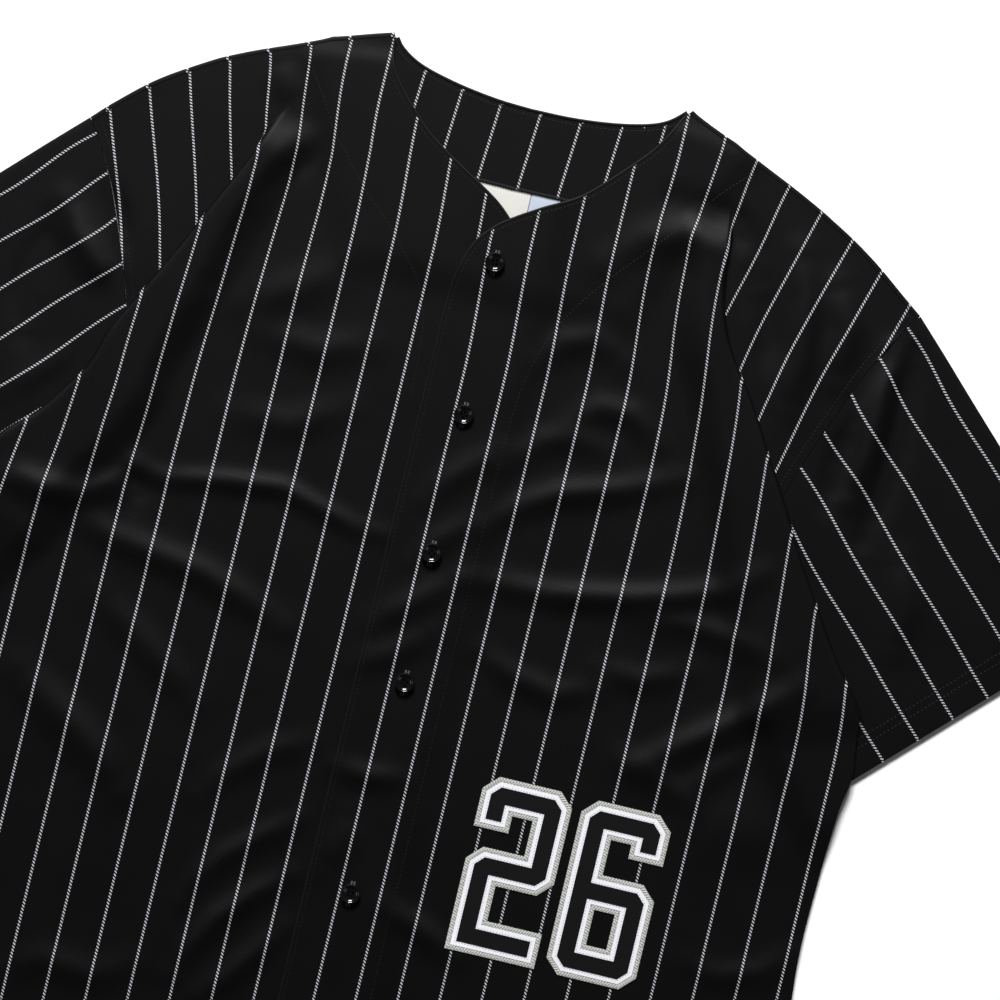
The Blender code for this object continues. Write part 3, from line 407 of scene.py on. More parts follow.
HEM = [Spot(285, -682), Spot(277, -696), Spot(250, -712), Spot(205, -728), Spot(150, -739),
       Spot(80, -745), Spot(0, -746)]
SLEEVE_TOP = [Spot(283, -50.5), Spot(310, -65), Spot(340, -81.5), Spot(411, -120),
              Spot(479.7, -157.8)]
SLEEVE_HEM = [Spot(479.7, -157.8), Spot(383, -334.6)]
UNDERARM = [Spot(383, -334.6), Spot(338, -310), Spot(293, -286)]
SHOULDER_WRAP = 1.5
PIPING_WIDTH = 2.0
PIPING_COVER = 0.6
HEM_END = 14.0
EDGE_STEP = 4.0
PARALLEL = 0.02


def chain(spots, step=EDGE_STEP, side=1):
    """Points along a smooth curve through a table of spots."""
    rows = [Vector((s.across * side, s.along)) for s in spots]
    rows = [rows[0] * 2 - rows[1]] + rows + [rows[-1] * 2 - rows[-2]]
    points = []
    for i in range(1, len(rows) - 2):
        before, start, end, after = rows[i - 1:i + 3]
        count = max(1, ceil((end - start).length / step))
        for j in range(count):
            t = j / count
            points.append(0.5 * ((2 * start) + (end - before) * t
                                 + (2 * before - 5 * start + 4 * end - after) * t * t
                                 + (3 * start - before - 3 * end + after) * t ** 3))
    points.append(rows[-2])
    return points


def straight(start, end, step=EDGE_STEP):
    """Points along a straight line."""
    count = max(1, ceil((Vector(end) - Vector(start)).length / step))
    return [Vector(start).lerp(Vector(end), i / count) for i in range(count + 1)]


def ring(*chains):
    """Join named chains into one closed outline: its points, and the name of each edge."""
    points, names = [], []
    for name, run in chains:
        points += run[:-1]
        names += [name] * (len(run) - 1)
    return points, names


def inset(outline, distances):
    """Move each edge of a counter-clockwise outline inwards by its own distance."""
    points, names = outline
    count = len(points)
    lines = []
    for i in range(count):
        along = (points[(i + 1) % count] - points[i]).normalized()
        inward = Vector((-along.y, along.x))
        lines.append((points[i] + inward * distances.get(names[i], 0.0), along, inward))
    moved = []
    for i in range(count):
        spot_a, along_a, _ = lines[i - 1]
        spot_b, along_b, _ = lines[i]
        cross = along_a.x * along_b.y - along_a.y * along_b.x
        if abs(cross) < PARALLEL:
            moved.append(spot_b.copy())
        else:
            gap = spot_b - spot_a
            moved.append(spot_a + along_a * ((gap.x * along_b.y - gap.y * along_b.x) / cross))
    return moved, names


def body_chains(side):
    """Shoulder to hem for one half, from the neck point round to the middle of the hem."""
    return [("shoulder", chain(SHOULDER[side], side=side)), ("armhole", chain(ARMHOLE, side=side)),
            ("side", chain(SIDE, side=side)), ("hem", chain(HEM, side=side))]


def turned(named):
    """The same chains, walked the other way."""
    return [(name, run[::-1]) for name, run in reversed(named)]


def back_outline():
    """The back, from its neck round both sides to the hem."""
    right = [("neck", chain(BACK_NECK[1]))] + body_chains(1)
    left = [("neck", chain(BACK_NECK[-1], side=-1))] + body_chains(-1)
    return inset(ring(*turned(right), *left), {"neck": SEAM + PIPING_WIDTH, "shoulder": OUTER,
                                               "armhole": SKIN})


def front_outline(side):
    """One front, from its shoulder round to the placket edge and the neck."""
    hem_inner = PLACKET_EDGE * side
    hem = [p for p in chain(HEM, side=side) if p.x * side > HEM_END] + [Vector((hem_inner, HEM_LINE))]
    neck = chain(FRONT_NECK[side], side=side)[:-1]
    neck += straight((hem_inner, PLACKET_START), (hem_inner, HEM_LINE))
    named = body_chains(side)[:3] + [("hem", hem), ("neck", neck[::-1])]
    if side > 0:
        named = turned(named)
    return inset(ring(*named), {"neck": PIPING_WIDTH * PIPING_COVER, "armhole": SKIN,
                                "shoulder": OUTER + SHOULDER_WRAP + SEAM})


def sleeve_outline(side):
    """One sleeve, folded along its top."""
    named = [("top", chain(SLEEVE_TOP, side=side)), ("hem", chain(SLEEVE_HEM, side=side)),
             ("underarm", chain(UNDERARM, side=side)),
             ("armhole", chain(ARMHOLE, side=side)[::-1])]
    if side > 0:
        named = turned(named)
    return inset(ring(*named), {"top": OUTER, "armhole": SKIN})


# %% [markdown]
# ## A fine flat mesh
#
# Cloth that bends needs many small faces, and edges that run along its creases. So each outline is
# filled with a triangular grid of points, and rows of points are laid across the knife folds, close
# together in the bends. Delaunay triangulation joins them into even triangles.

# %% Points inside an outline, and their triangles
FIRST_STATION = 45.0
LAST_STATION = 402.0
STATION_STEP = 5.0
BEND_STEPS = 6
EDGE_TURNS = 8
SOLVE_ROUNDS = 14
MARKS_PER_MM = 4
ROW_SHARE = 0.866
CLEAR_SHARE = 0.45
STATION_MARGIN = 2.0
MERGE_GAP = 0.02


def flat_spot(radius, arc, fold):
    """The flat point that lies at an arc from the crease."""
    sizes = fold_sizes(np.array(radius), fold)
    angle = arc / radius
    for _ in range(SOLVE_ROUNDS):
        angle = arc / radius + sizes["soft"] * (soft_share(angle, radius) - 0.5)
    angle = angle + sizes["crease"] + sizes["soft"] / 2
    return Vector((fold.side * (fold.pivot_across + radius * cos(angle)),
                   fold.pivot_along + radius * sin(angle)))


def fold_lattice(fold):
    """Rows of points across the fold's bends, and the edges that join them lengthways."""
    points, edges, known, rows = [], [], {}, []
    for radius in np.arange(FIRST_STATION, LAST_STATION + 1.0, STATION_STEP):
        sizes = {k: float(v) for k, v in fold_sizes(np.array(radius), fold).items()}
        reach = sizes["bend"] * sizes["turn"]
        second = reach + sizes["strip"]
        arcs = [reach * i / BEND_STEPS for i in range(BEND_STEPS + 1)]
        arcs += [second + reach * i / BEND_STEPS for i in range(BEND_STEPS + 1)]
        line = []
        for arc in arcs:
            spot = flat_spot(radius, arc, fold)
            key = (round(spot.x * MARKS_PER_MM), round(spot.y * MARKS_PER_MM))
            if key not in known:
                known[key] = len(points)
                points.append(spot)
            line.append(known[key])
        rows.append(line)
    for before, line in zip(rows, rows[1:]):
        edges += [(a, b) for a, b in zip(before, line) if a != b]
    return points, edges


def inside(x, y, points):
    """Which of many places are inside a closed outline."""
    hit = np.zeros(x.shape, bool)
    for a, b in zip(points, points[1:] + points[:1]):
        if a.y == b.y:
            continue
        crosses = (a.y > y) != (b.y > y)
        hit ^= crosses & (x < (b.x - a.x) * (y - a.y) / (b.y - a.y) + a.x)
    return hit


def edge_distance(x, y, points):
    """How far places are from a closed outline."""
    best = np.full(x.shape, 1e9)
    for a, b in zip(points, points[1:] + points[:1]):
        length = max((b - a).length_squared, 1e-9)
        part = np.clip(((x - a.x) * (b.x - a.x) + (y - a.y) * (b.y - a.y)) / length, 0, 1)
        best = np.minimum(best, np.hypot(x - a.x - part * (b.x - a.x), y - a.y - part * (b.y - a.y)))
    return best


def grid_points(points, spacing, folded):
    """A triangular grid of points inside an outline, clear of its edge and of the bends."""
    xs = [p.x for p in points]
    ys = [p.y for p in points]
    rows = np.arange(min(ys), max(ys), spacing * ROW_SHARE)
    cols = np.arange(min(xs) - spacing, max(xs), spacing)
    x = np.concatenate([cols + (i % 2) * spacing / 2 for i in range(len(rows))])
    y = np.repeat(rows, len(cols))
    keep = inside(x, y, points)
    x, y = x[keep], y[keep]
    margin = spacing * CLEAR_SHARE
    keep = edge_distance(x, y, points) > margin
    if folded:
        for fold in FOLDS.values():
            radius, sizes, arc = arc_from_crease(x, y, fold)
            reach = sizes["bend"] * sizes["turn"]
            second = reach + sizes["strip"]
            here = (radius > FIRST_STATION - STATION_MARGIN) & (x * fold.side > 0)
            here &= radius < LAST_STATION + STATION_MARGIN
            near = (arc > -margin) & (arc < reach + margin)
            near |= (arc > second - margin) & (arc < second + reach + margin)
            keep &= ~(here & near)
    return [Vector(p) for p in zip(x[keep], y[keep])]


def flat_mesh(outline, spacing, folded=True, holes=(), lines=()):
    """Triangulate a flat piece, with its creases, holes and lines kept as edges."""
    points, _ = outline
    spots = list(points)
    edges = [(i, (i + 1) % len(points)) for i in range(len(points))]
    for hole in holes:
        base = len(spots)
        spots += hole
        edges += [(base + i, base + (i + 1) % len(hole)) for i in range(len(hole))]
    if folded:
        for fold in FOLDS.values():
            more, joins = fold_lattice(fold)
            base = len(spots)
            spots += more
            edges += [(a + base, b + base) for a, b in joins]
    for line in lines:
        base = len(spots)
        spots += line
        edges += [(base + i, base + i + 1) for i in range(len(line) - 1)]
    spots += grid_points(points, spacing, folded)
    verts, _, faces, _, _, _ = delaunay_2d_cdt(spots, edges, [], 0, MERGE_GAP)
    flat = np.array([(v.x, v.y) for v in verts])
    faces = np.array(faces)
    centre = flat[faces].mean(axis=1)
    keep = inside(centre[:, 0], centre[:, 1], points)
    for hole in holes:
        keep &= ~inside(centre[:, 0], centre[:, 1], hole)
    faces = faces[keep]
    used, faces = np.unique(faces, return_inverse=True)
    return flat[used], faces.reshape(-1, 3)


def border(faces):
    """The border edges of a triangulation, each in the direction of its triangle."""
    seen = {(int(f[i]), int(f[(i + 1) % 3])) for f in faces for i in range(3)}
    return sorted((a, b) for a, b in seen if (b, a) not in seen)


def split_border(flat, faces, outline, wrap):
    """The plain border edges, the wrapped ones, and the points where the wrapped ones start and end."""
    edges = border(faces)
    points, names = outline
    start = np.array([tuple(p) for p in points])
    run = np.roll(start, -1, axis=0) - start
    spots = np.array([(flat[a] + flat[b]) / 2 for a, b in edges])
    away = spots[:, None, :] - start[None]
    part = np.clip((away * run).sum(2) / np.maximum((run * run).sum(1), 1e-9), 0, 1)
    nearest = np.linalg.norm(away - part[..., None] * run, axis=2).argmin(axis=1)
    wrapped = [e for e, i in zip(edges, nearest) if names[i] == wrap]
    plain = [e for e, i in zip(edges, nearest) if names[i] != wrap]
    starts = {a for a, b in wrapped} - {b for a, b in wrapped}
    ends = {b for a, b in wrapped} - {a for a, b in wrapped}
    return plain, wrapped, starts, ends


# %% [markdown]
# ## One layer of cloth
#
# A Shell gathers the points and faces of one closed layer: an upper sheet, a lower sheet, and the
# narrow band round its cut edge. It also keeps where each point was on the cut, and writes that to a
# UV map in metres, so that a stripe or a weave has its real size and follows the folds.

# %% The shell of a cloth piece
CLOTH_SHARP = 40.0


class Shell:
    """Collects points and faces of one closed piece, each point with its place on the cut."""

    def __init__(self, cut):
        self.cut = cut
        self.places = []
        self.cuts = []
        self.faces = []

    def add(self, flat, levels, cut=None):
        """Add flat points at their levels and give their numbers."""
        flat = np.asarray(flat, float)
        base = sum(len(p) for p in self.places)
        levels = np.broadcast_to(np.asarray(levels, float), (len(flat),))
        self.places.append(laid(flat[:, 0], flat[:, 1], levels))
        self.cuts.append((cut or self.cut)(flat[:, 0], flat[:, 1]))
        return list(range(base, base + len(flat)))

    def sheet(self, numbers, faces, up):
        """Give a whole triangulation to the layer, facing up or down."""
        order = faces if up else faces[:, ::-1]
        self.faces += np.asarray(numbers)[order].tolist()

    def band(self, start, end):
        """Join two columns of points, from the lower to the upper sheet."""
        for i in range(len(start) - 1):
            self.faces.append([start[i], end[i], end[i + 1], start[i + 1]])

    def build(self, name, material):
        """Make the piece of all the points and faces."""
        return make_piece(name, np.concatenate(self.places), self.faces, material,
                          np.concatenate(self.cuts))


def make_piece(name, places, faces, material, cuts=None, sharp=CLOTH_SHARP):
    """A mesh object from places in millimetres, shaded smooth but for its sharp edges."""
    mesh = bpy.data.meshes.new(name)
    mesh.from_pydata((np.asarray(places) * MM).tolist(), [], faces)
    if cuts is not None:
        corners = np.zeros(len(mesh.loops), np.int32)
        mesh.loops.foreach_get("vertex_index", corners)
        layer = mesh.uv_layers.new(name="cut")
        layer.data.foreach_set("uv", (np.asarray(cuts)[corners] * MM).astype(np.float32).ravel())
    mesh.materials.append(material)
    mesh.shade_smooth()
    mesh.set_sharp_from_angle(angle=radians(sharp))
    piece = bpy.data.objects.new(name, mesh)
    bpy.context.scene.collection.objects.link(piece)
    return piece


def dress(piece, slot, *nodes):
    """Let a piece ride on the garment's one body, and stand for its solids."""
    if nodes:
        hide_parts(*nodes)
    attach(piece, "root")
    print(piece.name, len(piece.data.polygons), "faces")
    return piece


def corner_normals(flat, edges):
    """The flat outward direction at each point of some border edges."""
    sums = {}
    for a, b in edges:
        run = flat[b] - flat[a]
        outward = np.array((run[1], -run[0])) / np.linalg.norm(run)
        for i in (a, b):
            sums[i] = sums.get(i, 0.0) + outward
    return {i: v / np.linalg.norm(v) for i, v in sums.items()}


def folded_columns(shell, flat, outward, rows):
    """Columns of points round a folded edge, one for each of its border points."""
    columns = {i: [] for i in outward}
    for out, high in rows:
        moved = [flat[i] + normal * out for i, normal in outward.items()]
        for i, number in zip(outward, shell.add(moved, high)):
            columns[i].append(number)
    return columns


def round_edge(radius, steps):
    """Rows of a half-round edge, as distance outwards and level."""
    return [(radius * cos(a), radius * sin(a))
            for a in (-pi / 2 + pi * i / steps for i in range(1, steps))]


def wall(outline, mesh, low, high, cut, wrap=None, wrap_rows=()):
    """One closed layer of cloth between two levels, with an edge that may wrap over."""
    flat, faces = mesh
    shell = Shell(cut)
    x, y = flat[:, 0], flat[:, 1]
    lower = shell.add(flat, low(x, y))
    upper = shell.add(flat, high(x, y))
    shell.sheet(upper, faces, True)
    shell.sheet(lower, faces, False)
    plain, wrapped, starts, ends = split_border(flat, faces, outline, wrap)
    for a, b in plain:
        shell.band([lower[a], upper[a]], [lower[b], upper[b]])
    if wrapped:
        columns = folded_columns(shell, flat, corner_normals(flat, wrapped), wrap_rows)
        full = {i: [lower[i]] + column + [upper[i]] for i, column in columns.items()}
        for a, b in wrapped:
            shell.band(full[a], full[b])
        for i in starts:
            shell.faces.append(full[i])
        for i in ends:
            shell.faces.append(full[i][::-1])
    return shell


def level(value):
    """A constant level for every point."""
    return lambda across, along: np.full(across.shape, value)


# %% [markdown]
# ## Where the stripes fall on the cut
#
# The stripes are knitted in, 25.4 mm apart, straight along each cut piece. A cutter doesn't match them
# at the seams, so each piece has its own offset. Here a cut function turns a piece's flat places into
# stripe places: its first number is the distance across the stripes, with a stripe at 0.

# %% The stripe places of each piece
STRIPE_PITCH = 25.4
LEAN_LENGTH = 90.0
BACK_OFFSET = 7.3
SHOULDER_STRIP = 60.0
SLEEVE_OFFSET = 11.3
RIPPLE = 1.5
RIPPLE_LENGTH = 15.0
RIPPLE_SLANT = 35.0
RIPPLE_START = 20.0
RIPPLE_FADE = 90.0


def striped(offset, degrees=0.0):
    """Stripe places for stripes that are turned clockwise by some degrees."""
    turn = radians(degrees)

    def cut(across, along):
        return np.stack([across * cos(turn) - along * sin(turn) - offset,
                         across * sin(turn) + along * cos(turn)], axis=-1)
    return cut


def leaned(offset, lean, low):
    """Stripes that lean a little near the neck, where the bias edge has stretched."""
    plain = striped(offset)

    def cut(across, along):
        places = plain(across, along)
        places[..., 0] += lean * smooth((along - low) / LEAN_LENGTH)
        return places
    return cut


LEFT_FRONT_CUT = leaned(offset=-2.4, lean=3.2, low=-190.0)
RIGHT_FRONT_CUT = leaned(offset=-13.2, lean=3.4, low=-125.0)


def back_cut(across, along):
    """The back's own stripes; the strip over one shoulder continues those of the left front."""
    places = striped(BACK_OFFSET)(across, along)
    front = LEFT_FRONT_CUT(across, along)
    return np.where((np.asarray(across) > SHOULDER_STRIP)[..., None], front, places)


FACING_CUT = striped(offset=8.1, degrees=3.8)
top_start, top_end = SLEEVE_TOP[0], SLEEVE_TOP[-1]
SLEEVE_RUN = Vector((top_end.across - top_start.across, top_end.along - top_start.along)).normalized()


def sleeve_cut(side, layer):
    """A sleeve's stripes run from armhole to hem; layer is 1 above the top fold and -1 under it."""
    def cut(across, along):
        x = across * side - top_start.across
        y = along - top_start.along
        away = (x * SLEEVE_RUN.y - y * SLEEVE_RUN.x) * layer
        length = x * SLEEVE_RUN.x + y * SLEEVE_RUN.y
        fade = np.exp(-np.maximum(length - RIPPLE_START, 0.0) / RIPPLE_FADE)
        ripple = RIPPLE * np.sin(length / RIPPLE_LENGTH + away / RIPPLE_SLANT) * fade
        return np.stack([away + ripple - SLEEVE_OFFSET, length], axis=-1)
    return cut


# %% [markdown]
# ## The pinstriped cloth as a material
#
# The cloth is a fine black knit with a slight satin shine. A stripe is not a painted line: white and
# black threads take turns in it, so it reads as a row of short slanted dashes. The nodes below repeat
# one pitch with a modulo, keep the narrow middle of it, and cut that into dashes with a second modulo
# along the slant. Colours that don't vary are set on the shader itself.

# %% Node helpers
class Nodes:
    """Short words for adding nodes to a material's tree."""

    def __init__(self, name, roughness, specular=0.5, sheen=0.0):
        self.material = bpy.data.materials.new(name)
        self.material.use_nodes = True
        self.tree = self.material.node_tree
        self.shader = self.tree.nodes["Principled BSDF"]
        self.shader.inputs["Roughness"].default_value = roughness
        self.shader.inputs["Specular IOR Level"].default_value = specular
        self.shader.inputs["Sheen Weight"].default_value = sheen

    def add(self, kind, **inputs):
        node = self.tree.nodes.new(kind)
        for key, value in inputs.items():
            self.feed(node.inputs[key], value)
        return node

    def feed(self, socket, value):
        if isinstance(value, bpy.types.NodeSocket):
            self.tree.links.new(value, socket)
        else:
            socket.default_value = value

    def math(self, operation, first, second=0.0, third=0.0):
        node = self.tree.nodes.new("ShaderNodeMath")
        node.operation = operation
        for socket, value in zip(node.inputs, (first, second, third)):
            self.feed(socket, value)
        return node.outputs[0]

    def band(self, value, half_width, soft):
        """1 where a value is within half_width of zero, with a soft edge."""
        away = self.math("ABSOLUTE", value)
        return self.math("MULTIPLY_ADD", self.step(away, half_width - soft, half_width + soft), -1.0, 1.0)

    def step(self, value, low, high):
        node = self.tree.nodes.new("ShaderNodeMapRange")
        node.interpolation_type = "SMOOTHSTEP"
        for key, number in (("From Min", low), ("From Max", high)):
            node.inputs[key].default_value = number
        self.feed(node.inputs["Value"], value)
        return node.outputs["Result"]

    def mix(self, share, first, second):
        node = self.tree.nodes.new("ShaderNodeMix")
        node.data_type = "RGBA"
        self.feed(node.inputs["Factor"], share)
        self.feed(node.inputs["A"], first)
        self.feed(node.inputs["B"], second)
        return node.outputs["Result"]

    def mapping(self, vector, turn):
        node = self.tree.nodes.new("ShaderNodeMapping")
        node.inputs["Rotation"].default_value = (0, 0, turn)
        self.tree.links.new(vector, node.inputs["Vector"])
        return node.outputs["Vector"]

    def cut_map(self):
        node = self.tree.nodes.new("ShaderNodeUVMap")
        node.uv_map = "cut"
        return node.outputs["UV"]

    def place(self):
        return self.tree.nodes.new("ShaderNodeTexCoord").outputs["Object"]

    def noise(self, vector, scale, detail=2.0, rough=0.5):
        node = self.add("ShaderNodeTexNoise", Scale=scale, Detail=detail, Roughness=rough)
        self.tree.links.new(vector, node.inputs["Vector"])
        return node.outputs["Factor"] if "Factor" in node.outputs else node.outputs["Fac"]

    def wave(self, vector, scale, turn=0.0, distort=0.0):
        """Ridges across X after a turn, each 1 / scale metres wide."""
        parts = self.tree.nodes.new("ShaderNodeSeparateXYZ")
        self.tree.links.new(self.mapping(vector, turn), parts.inputs[0])
        run = self.math("MULTIPLY", parts.outputs[0], tau * scale)
        if distort:
            run = self.math("ADD", run, self.math("MULTIPLY", self.noise(vector, scale / 3), distort))
        return self.math("MULTIPLY_ADD", self.math("SINE", run), 0.5, 0.5)

    def bump(self, height, distance, strength):
        node = self.add("ShaderNodeBump", Distance=distance, Strength=strength)
        self.tree.links.new(height, node.inputs["Height"])
        return node.outputs["Normal"]

    def finish(self, colour, normal=None, roughness=None):
        for key, value in (("Base Color", colour), ("Normal", normal), ("Roughness", roughness)):
            if value is not None:
                self.feed(self.shader.inputs[key], value)
        return self.material


# %% The pinstripe material
STRIPE_WIDTH = 1.5 * MM
DASH_PITCH = 2.0 * MM
DASH_SLANT = radians(34.5)
DASH_SHARE = 0.44
KNIT_PITCH = 0.42 * MM
KNIT_TURN = radians(62.0)
EDGE_SOFTNESS = 0.1 * MM
DARK_BORDER = 0.45 * MM
BORDER_SOFTNESS = 0.25 * MM


def pinstripe_cloth():
    n = Nodes("pinstripe_cloth", 0.5, specular=0.105)
    cut = n.cut_map()
    parts = n.add("ShaderNodeSeparateXYZ")
    n.tree.links.new(cut, parts.inputs[0])
    across, along = parts.outputs[0], parts.outputs[1]
    pitch = STRIPE_PITCH * MM
    from_stripe = n.math("WRAP", across, pitch / 2, -pitch / 2)
    stripe = n.band(from_stripe, STRIPE_WIDTH / 2, EDGE_SOFTNESS)
    border_band = n.band(from_stripe, STRIPE_WIDTH / 2 + DARK_BORDER, BORDER_SOFTNESS)
    slanted = n.math("MULTIPLY_ADD", from_stripe, np.tan(DASH_SLANT), along)
    in_dash = n.math("WRAP", slanted, DASH_PITCH / 2, -DASH_PITCH / 2)
    dash = n.band(in_dash, DASH_PITCH * DASH_SHARE / 2, EDGE_SOFTNESS)
    white = n.math("MULTIPLY", stripe, dash)
    grain = n.noise(cut, 900.0, 3.0)
    cloud = n.noise(n.place(), 14.0, 3.0)
    shade = n.math("MULTIPLY_ADD", n.math("ADD", grain, cloud), 0.5, 0.0)
    black = n.mix(shade, (0.0008, 0.0008, 0.0010, 1), (0.0018, 0.0018, 0.0021, 1))
    black = n.mix(border_band, black, (0.0005, 0.0005, 0.0006, 1))
    pale = n.mix(grain, (0.30, 0.31, 0.34, 1), (0.58, 0.59, 0.63, 1))
    colour = n.mix(white, black, pale)
    knit = n.math("MULTIPLY", n.wave(cut, 1 / KNIT_PITCH, KNIT_TURN),
                  n.wave(cut, 1 / KNIT_PITCH, KNIT_TURN - pi / 2))
    height = n.math("MULTIPLY_ADD", white, 1.2, n.math("MULTIPLY_ADD", knit, 0.55, grain))
    rough = n.math("MULTIPLY_ADD", n.noise(n.place(), 30.0), 0.10, 0.45)
    return n.finish(colour, n.bump(height, 0.09 * MM, 0.6), rough)


CLOTH = pinstripe_cloth()

# %% [markdown]
# ## Back, fronts and sleeves
#
# The back lies underneath, and wraps just over the shoulders, so the shoulder seam shows on the upper
# side. The two fronts meet at the placket, with the wearer's left one on top. A sleeve is one piece,
# folded along its top. The fronts and sleeves get a finer mesh than the back, because they carry the
# creases.

# %% The back
FRONT_GRID = 3.6
BACK_GRID = 6.0


def make_back():
    outline = back_outline()
    mesh = flat_mesh(outline, BACK_GRID)
    rows = round_edge(OUTER, EDGE_TURNS)
    rows += [(0.0, OUTER), (-SHOULDER_WRAP, OUTER), (-SHOULDER_WRAP, SKIN), (0.0, SKIN), (SKIN, 0.0)]
    shell = wall(outline, mesh, level(-OUTER), level(-SKIN), back_cut, "shoulder", rows)
    piece = dress(shell.build("back_cloth", CLOTH), "cloth", "back_panel")
    return piece


back = make_back()


# %% [markdown]
# A front follows the creases, and the left one also climbs over the right one at the placket. Two
# lines of points run along the climb, so that its edges are straight.

# %% The fronts
OVERLAP_TOP = -60.0


def make_front(side, name, node, cut):
    outline = front_outline(side)
    lines = [straight((x, HEM_LINE), (x, OVERLAP_TOP)) for x in OVERLAP_LINES] if side > 0 else []
    mesh = flat_mesh(outline, FRONT_GRID, lines=lines)
    shell = wall(outline, mesh, lambda x, y: SKIN + front_raise(x, y, side),
                 lambda x, y: OUTER + front_raise(x, y, side), cut)
    piece = dress(shell.build(name, CLOTH), "cloth", node)


make_front(-1, "right_front_cloth", "front_right", RIGHT_FRONT_CUT)
make_front(1, "left_front_cloth", "front_left", LEFT_FRONT_CUT)


# %% [markdown]
# A sleeve has four sheets: the upper layer's two faces and the lower layer's two. They meet in a half
# round along the top fold, and each layer is closed by a band along its cut edges.

# %% The sleeves
CREASE_FADE = 14.0


def sleeve_raise(across, along, points):
    """A sleeve's creases, which fade towards its edges."""
    return ridge_height(across, along) * smooth(edge_distance(across, along, points) / CREASE_FADE)


def make_sleeve(side, name, node):
    outline = sleeve_outline(side)
    flat, faces = mesh = flat_mesh(outline, FRONT_GRID)
    x, y = flat[:, 0], flat[:, 1]
    raised = sleeve_raise(x, y, outline[0])
    above, below = sleeve_cut(side, 1), sleeve_cut(side, -1)
    shell = Shell(above)
    top = shell.add(flat, OUTER + raised)
    top_inner = shell.add(flat, SKIN + raised)
    under_inner = shell.add(flat, -SKIN, below)
    under = shell.add(flat, -OUTER, below)
    for numbers, up in ((top, True), (top_inner, False), (under_inner, True), (under, False)):
        shell.sheet(numbers, faces, up)
    plain, wrapped, starts, ends = split_border(flat, faces, outline, "top")
    for a, b in plain:
        shell.band([top_inner[a], top[a]], [top_inner[b], top[b]])
        shell.band([under[a], under_inner[a]], [under[b], under_inner[b]])
    outward = corner_normals(flat, wrapped)
    outer = folded_columns(shell, flat, outward, round_edge(OUTER, EDGE_TURNS))
    outer = {i: [under[i]] + column + [top[i]] for i, column in outer.items()}
    inner = folded_columns(shell, flat, outward, [(SKIN, 0.0)])
    inner = {i: [top_inner[i]] + column + [under_inner[i]] for i, column in inner.items()}
    for a, b in wrapped:
        shell.band(outer[a], outer[b])
        shell.band(inner[a], inner[b])
    for i in starts:
        shell.faces.append(outer[i] + inner[i])
    for i in ends:
        shell.faces.append((outer[i] + inner[i])[::-1])
    piece = dress(shell.build(name, CLOTH), "cloth", node)


make_sleeve(-1, "right_sleeve_cloth", "sleeve_right")
make_sleeve(1, "left_sleeve_cloth", "sleeve_left")

# %% [markdown]
# ## Neck facing and labels
#
# Inside the neck a curved facing of the same cloth covers the seam. A woven label and a small tab are
# sewn in under its lower edge. Both are bare here.

# %% The facing and the labels
FACING = {
    1: [Spot(0, -26), Spot(26, -25.5), Spot(51, -23), Spot(72, -18.6), Spot(84, -14),
        Spot(92, -30), Spot(104, -48), Spot(96, -62), Spot(60, -72), Spot(0, -74.5)],
    -1: [Spot(0, -26), Spot(20, -25.2), Spot(41, -22.6), Spot(58, -19.2), Spot(71, -15.6),
         Spot(83, -11.5), Spot(92, -30), Spot(104, -48), Spot(96, -62), Spot(60, -72),
         Spot(0, -74.5)],
}
FACING_GRID = 4.5
LABEL_GRID = 2.5
LABEL_WALL = 0.6
LABEL_SWELL = 0.12
SWELL_REACH = 3.0
RIB_PITCH = 0.35 * MM
LABEL_BOX = (-50.0, -116.0, 12.4, -74.9)
SIZE_TAB_BOX = (12.8, -95.0, 31.0, -74.9)


def ribbon(name, colour, dark):
    """A woven satin ribbon: fine cross ribs and a slight shine."""
    n = Nodes(name, 0.45, specular=0.4, sheen=0.1)
    cut = n.cut_map()
    ribs = n.wave(cut, 1 / RIB_PITCH, pi / 2)
    grain = n.noise(cut, 1500.0, 2.0)
    tint = n.mix(n.math("MULTIPLY_ADD", ribs, 0.5, n.math("MULTIPLY", grain, 0.5)), dark, colour)
    return n.finish(tint, n.bump(ribs, 0.06 * MM, 0.5))


def make_facing():
    outline = ring(("edge", chain(FACING[1])[::-1]), ("edge", chain(FACING[-1], side=-1)))
    mesh = flat_mesh(outline, FACING_GRID, folded=False)
    shell = wall(outline, mesh, level(SKIN), level(OUTER), FACING_CUT)
    piece = dress(shell.build("neck_facing_cloth", CLOTH), "cloth", "back_neck_facing")


def make_label(name, node, slot, box, material):
    left, low, right, high = box
    corners = [(left, low), (right, low), (right, high), (left, high), (left, low)]
    sides = [("edge", straight(a, b, 2.0)) for a, b in zip(corners, corners[1:])]
    outline = ring(*sides)
    mesh = flat_mesh(outline, LABEL_GRID, folded=False)

    def swell(across, along):
        away = edge_distance(across, along, [Vector(c) for c in corners[:4]])
        return LABEL_SWELL * smooth(away / SWELL_REACH)

    shell = wall(outline, mesh, level(SKIN),
                 lambda x, y: SKIN + LABEL_WALL - LABEL_SWELL + swell(x, y), striped(0.0))
    piece = dress(shell.build(name, material), slot, node)


LABEL_RIBBON = ribbon("label_ribbon", (0.60, 0.59, 0.55, 1), (0.46, 0.45, 0.42, 1))
TAB_RIBBON = ribbon("tab_ribbon", (0.44, 0.48, 0.57, 1), (0.34, 0.37, 0.45, 1))
make_facing()
make_label("neck_label_ribbon", "neck_label", "label", LABEL_BOX, LABEL_RIBBON)
make_label("size_tab_ribbon", "size_tab", "tab", SIZE_TAB_BOX, TAB_RIBBON)

# %% [markdown]
# ## Piping
#
# A narrow bias strip is rolled round a cord and sewn into the edge of the neck and the placket. It is
# a round tube that follows the edge, swept here from rings of points.

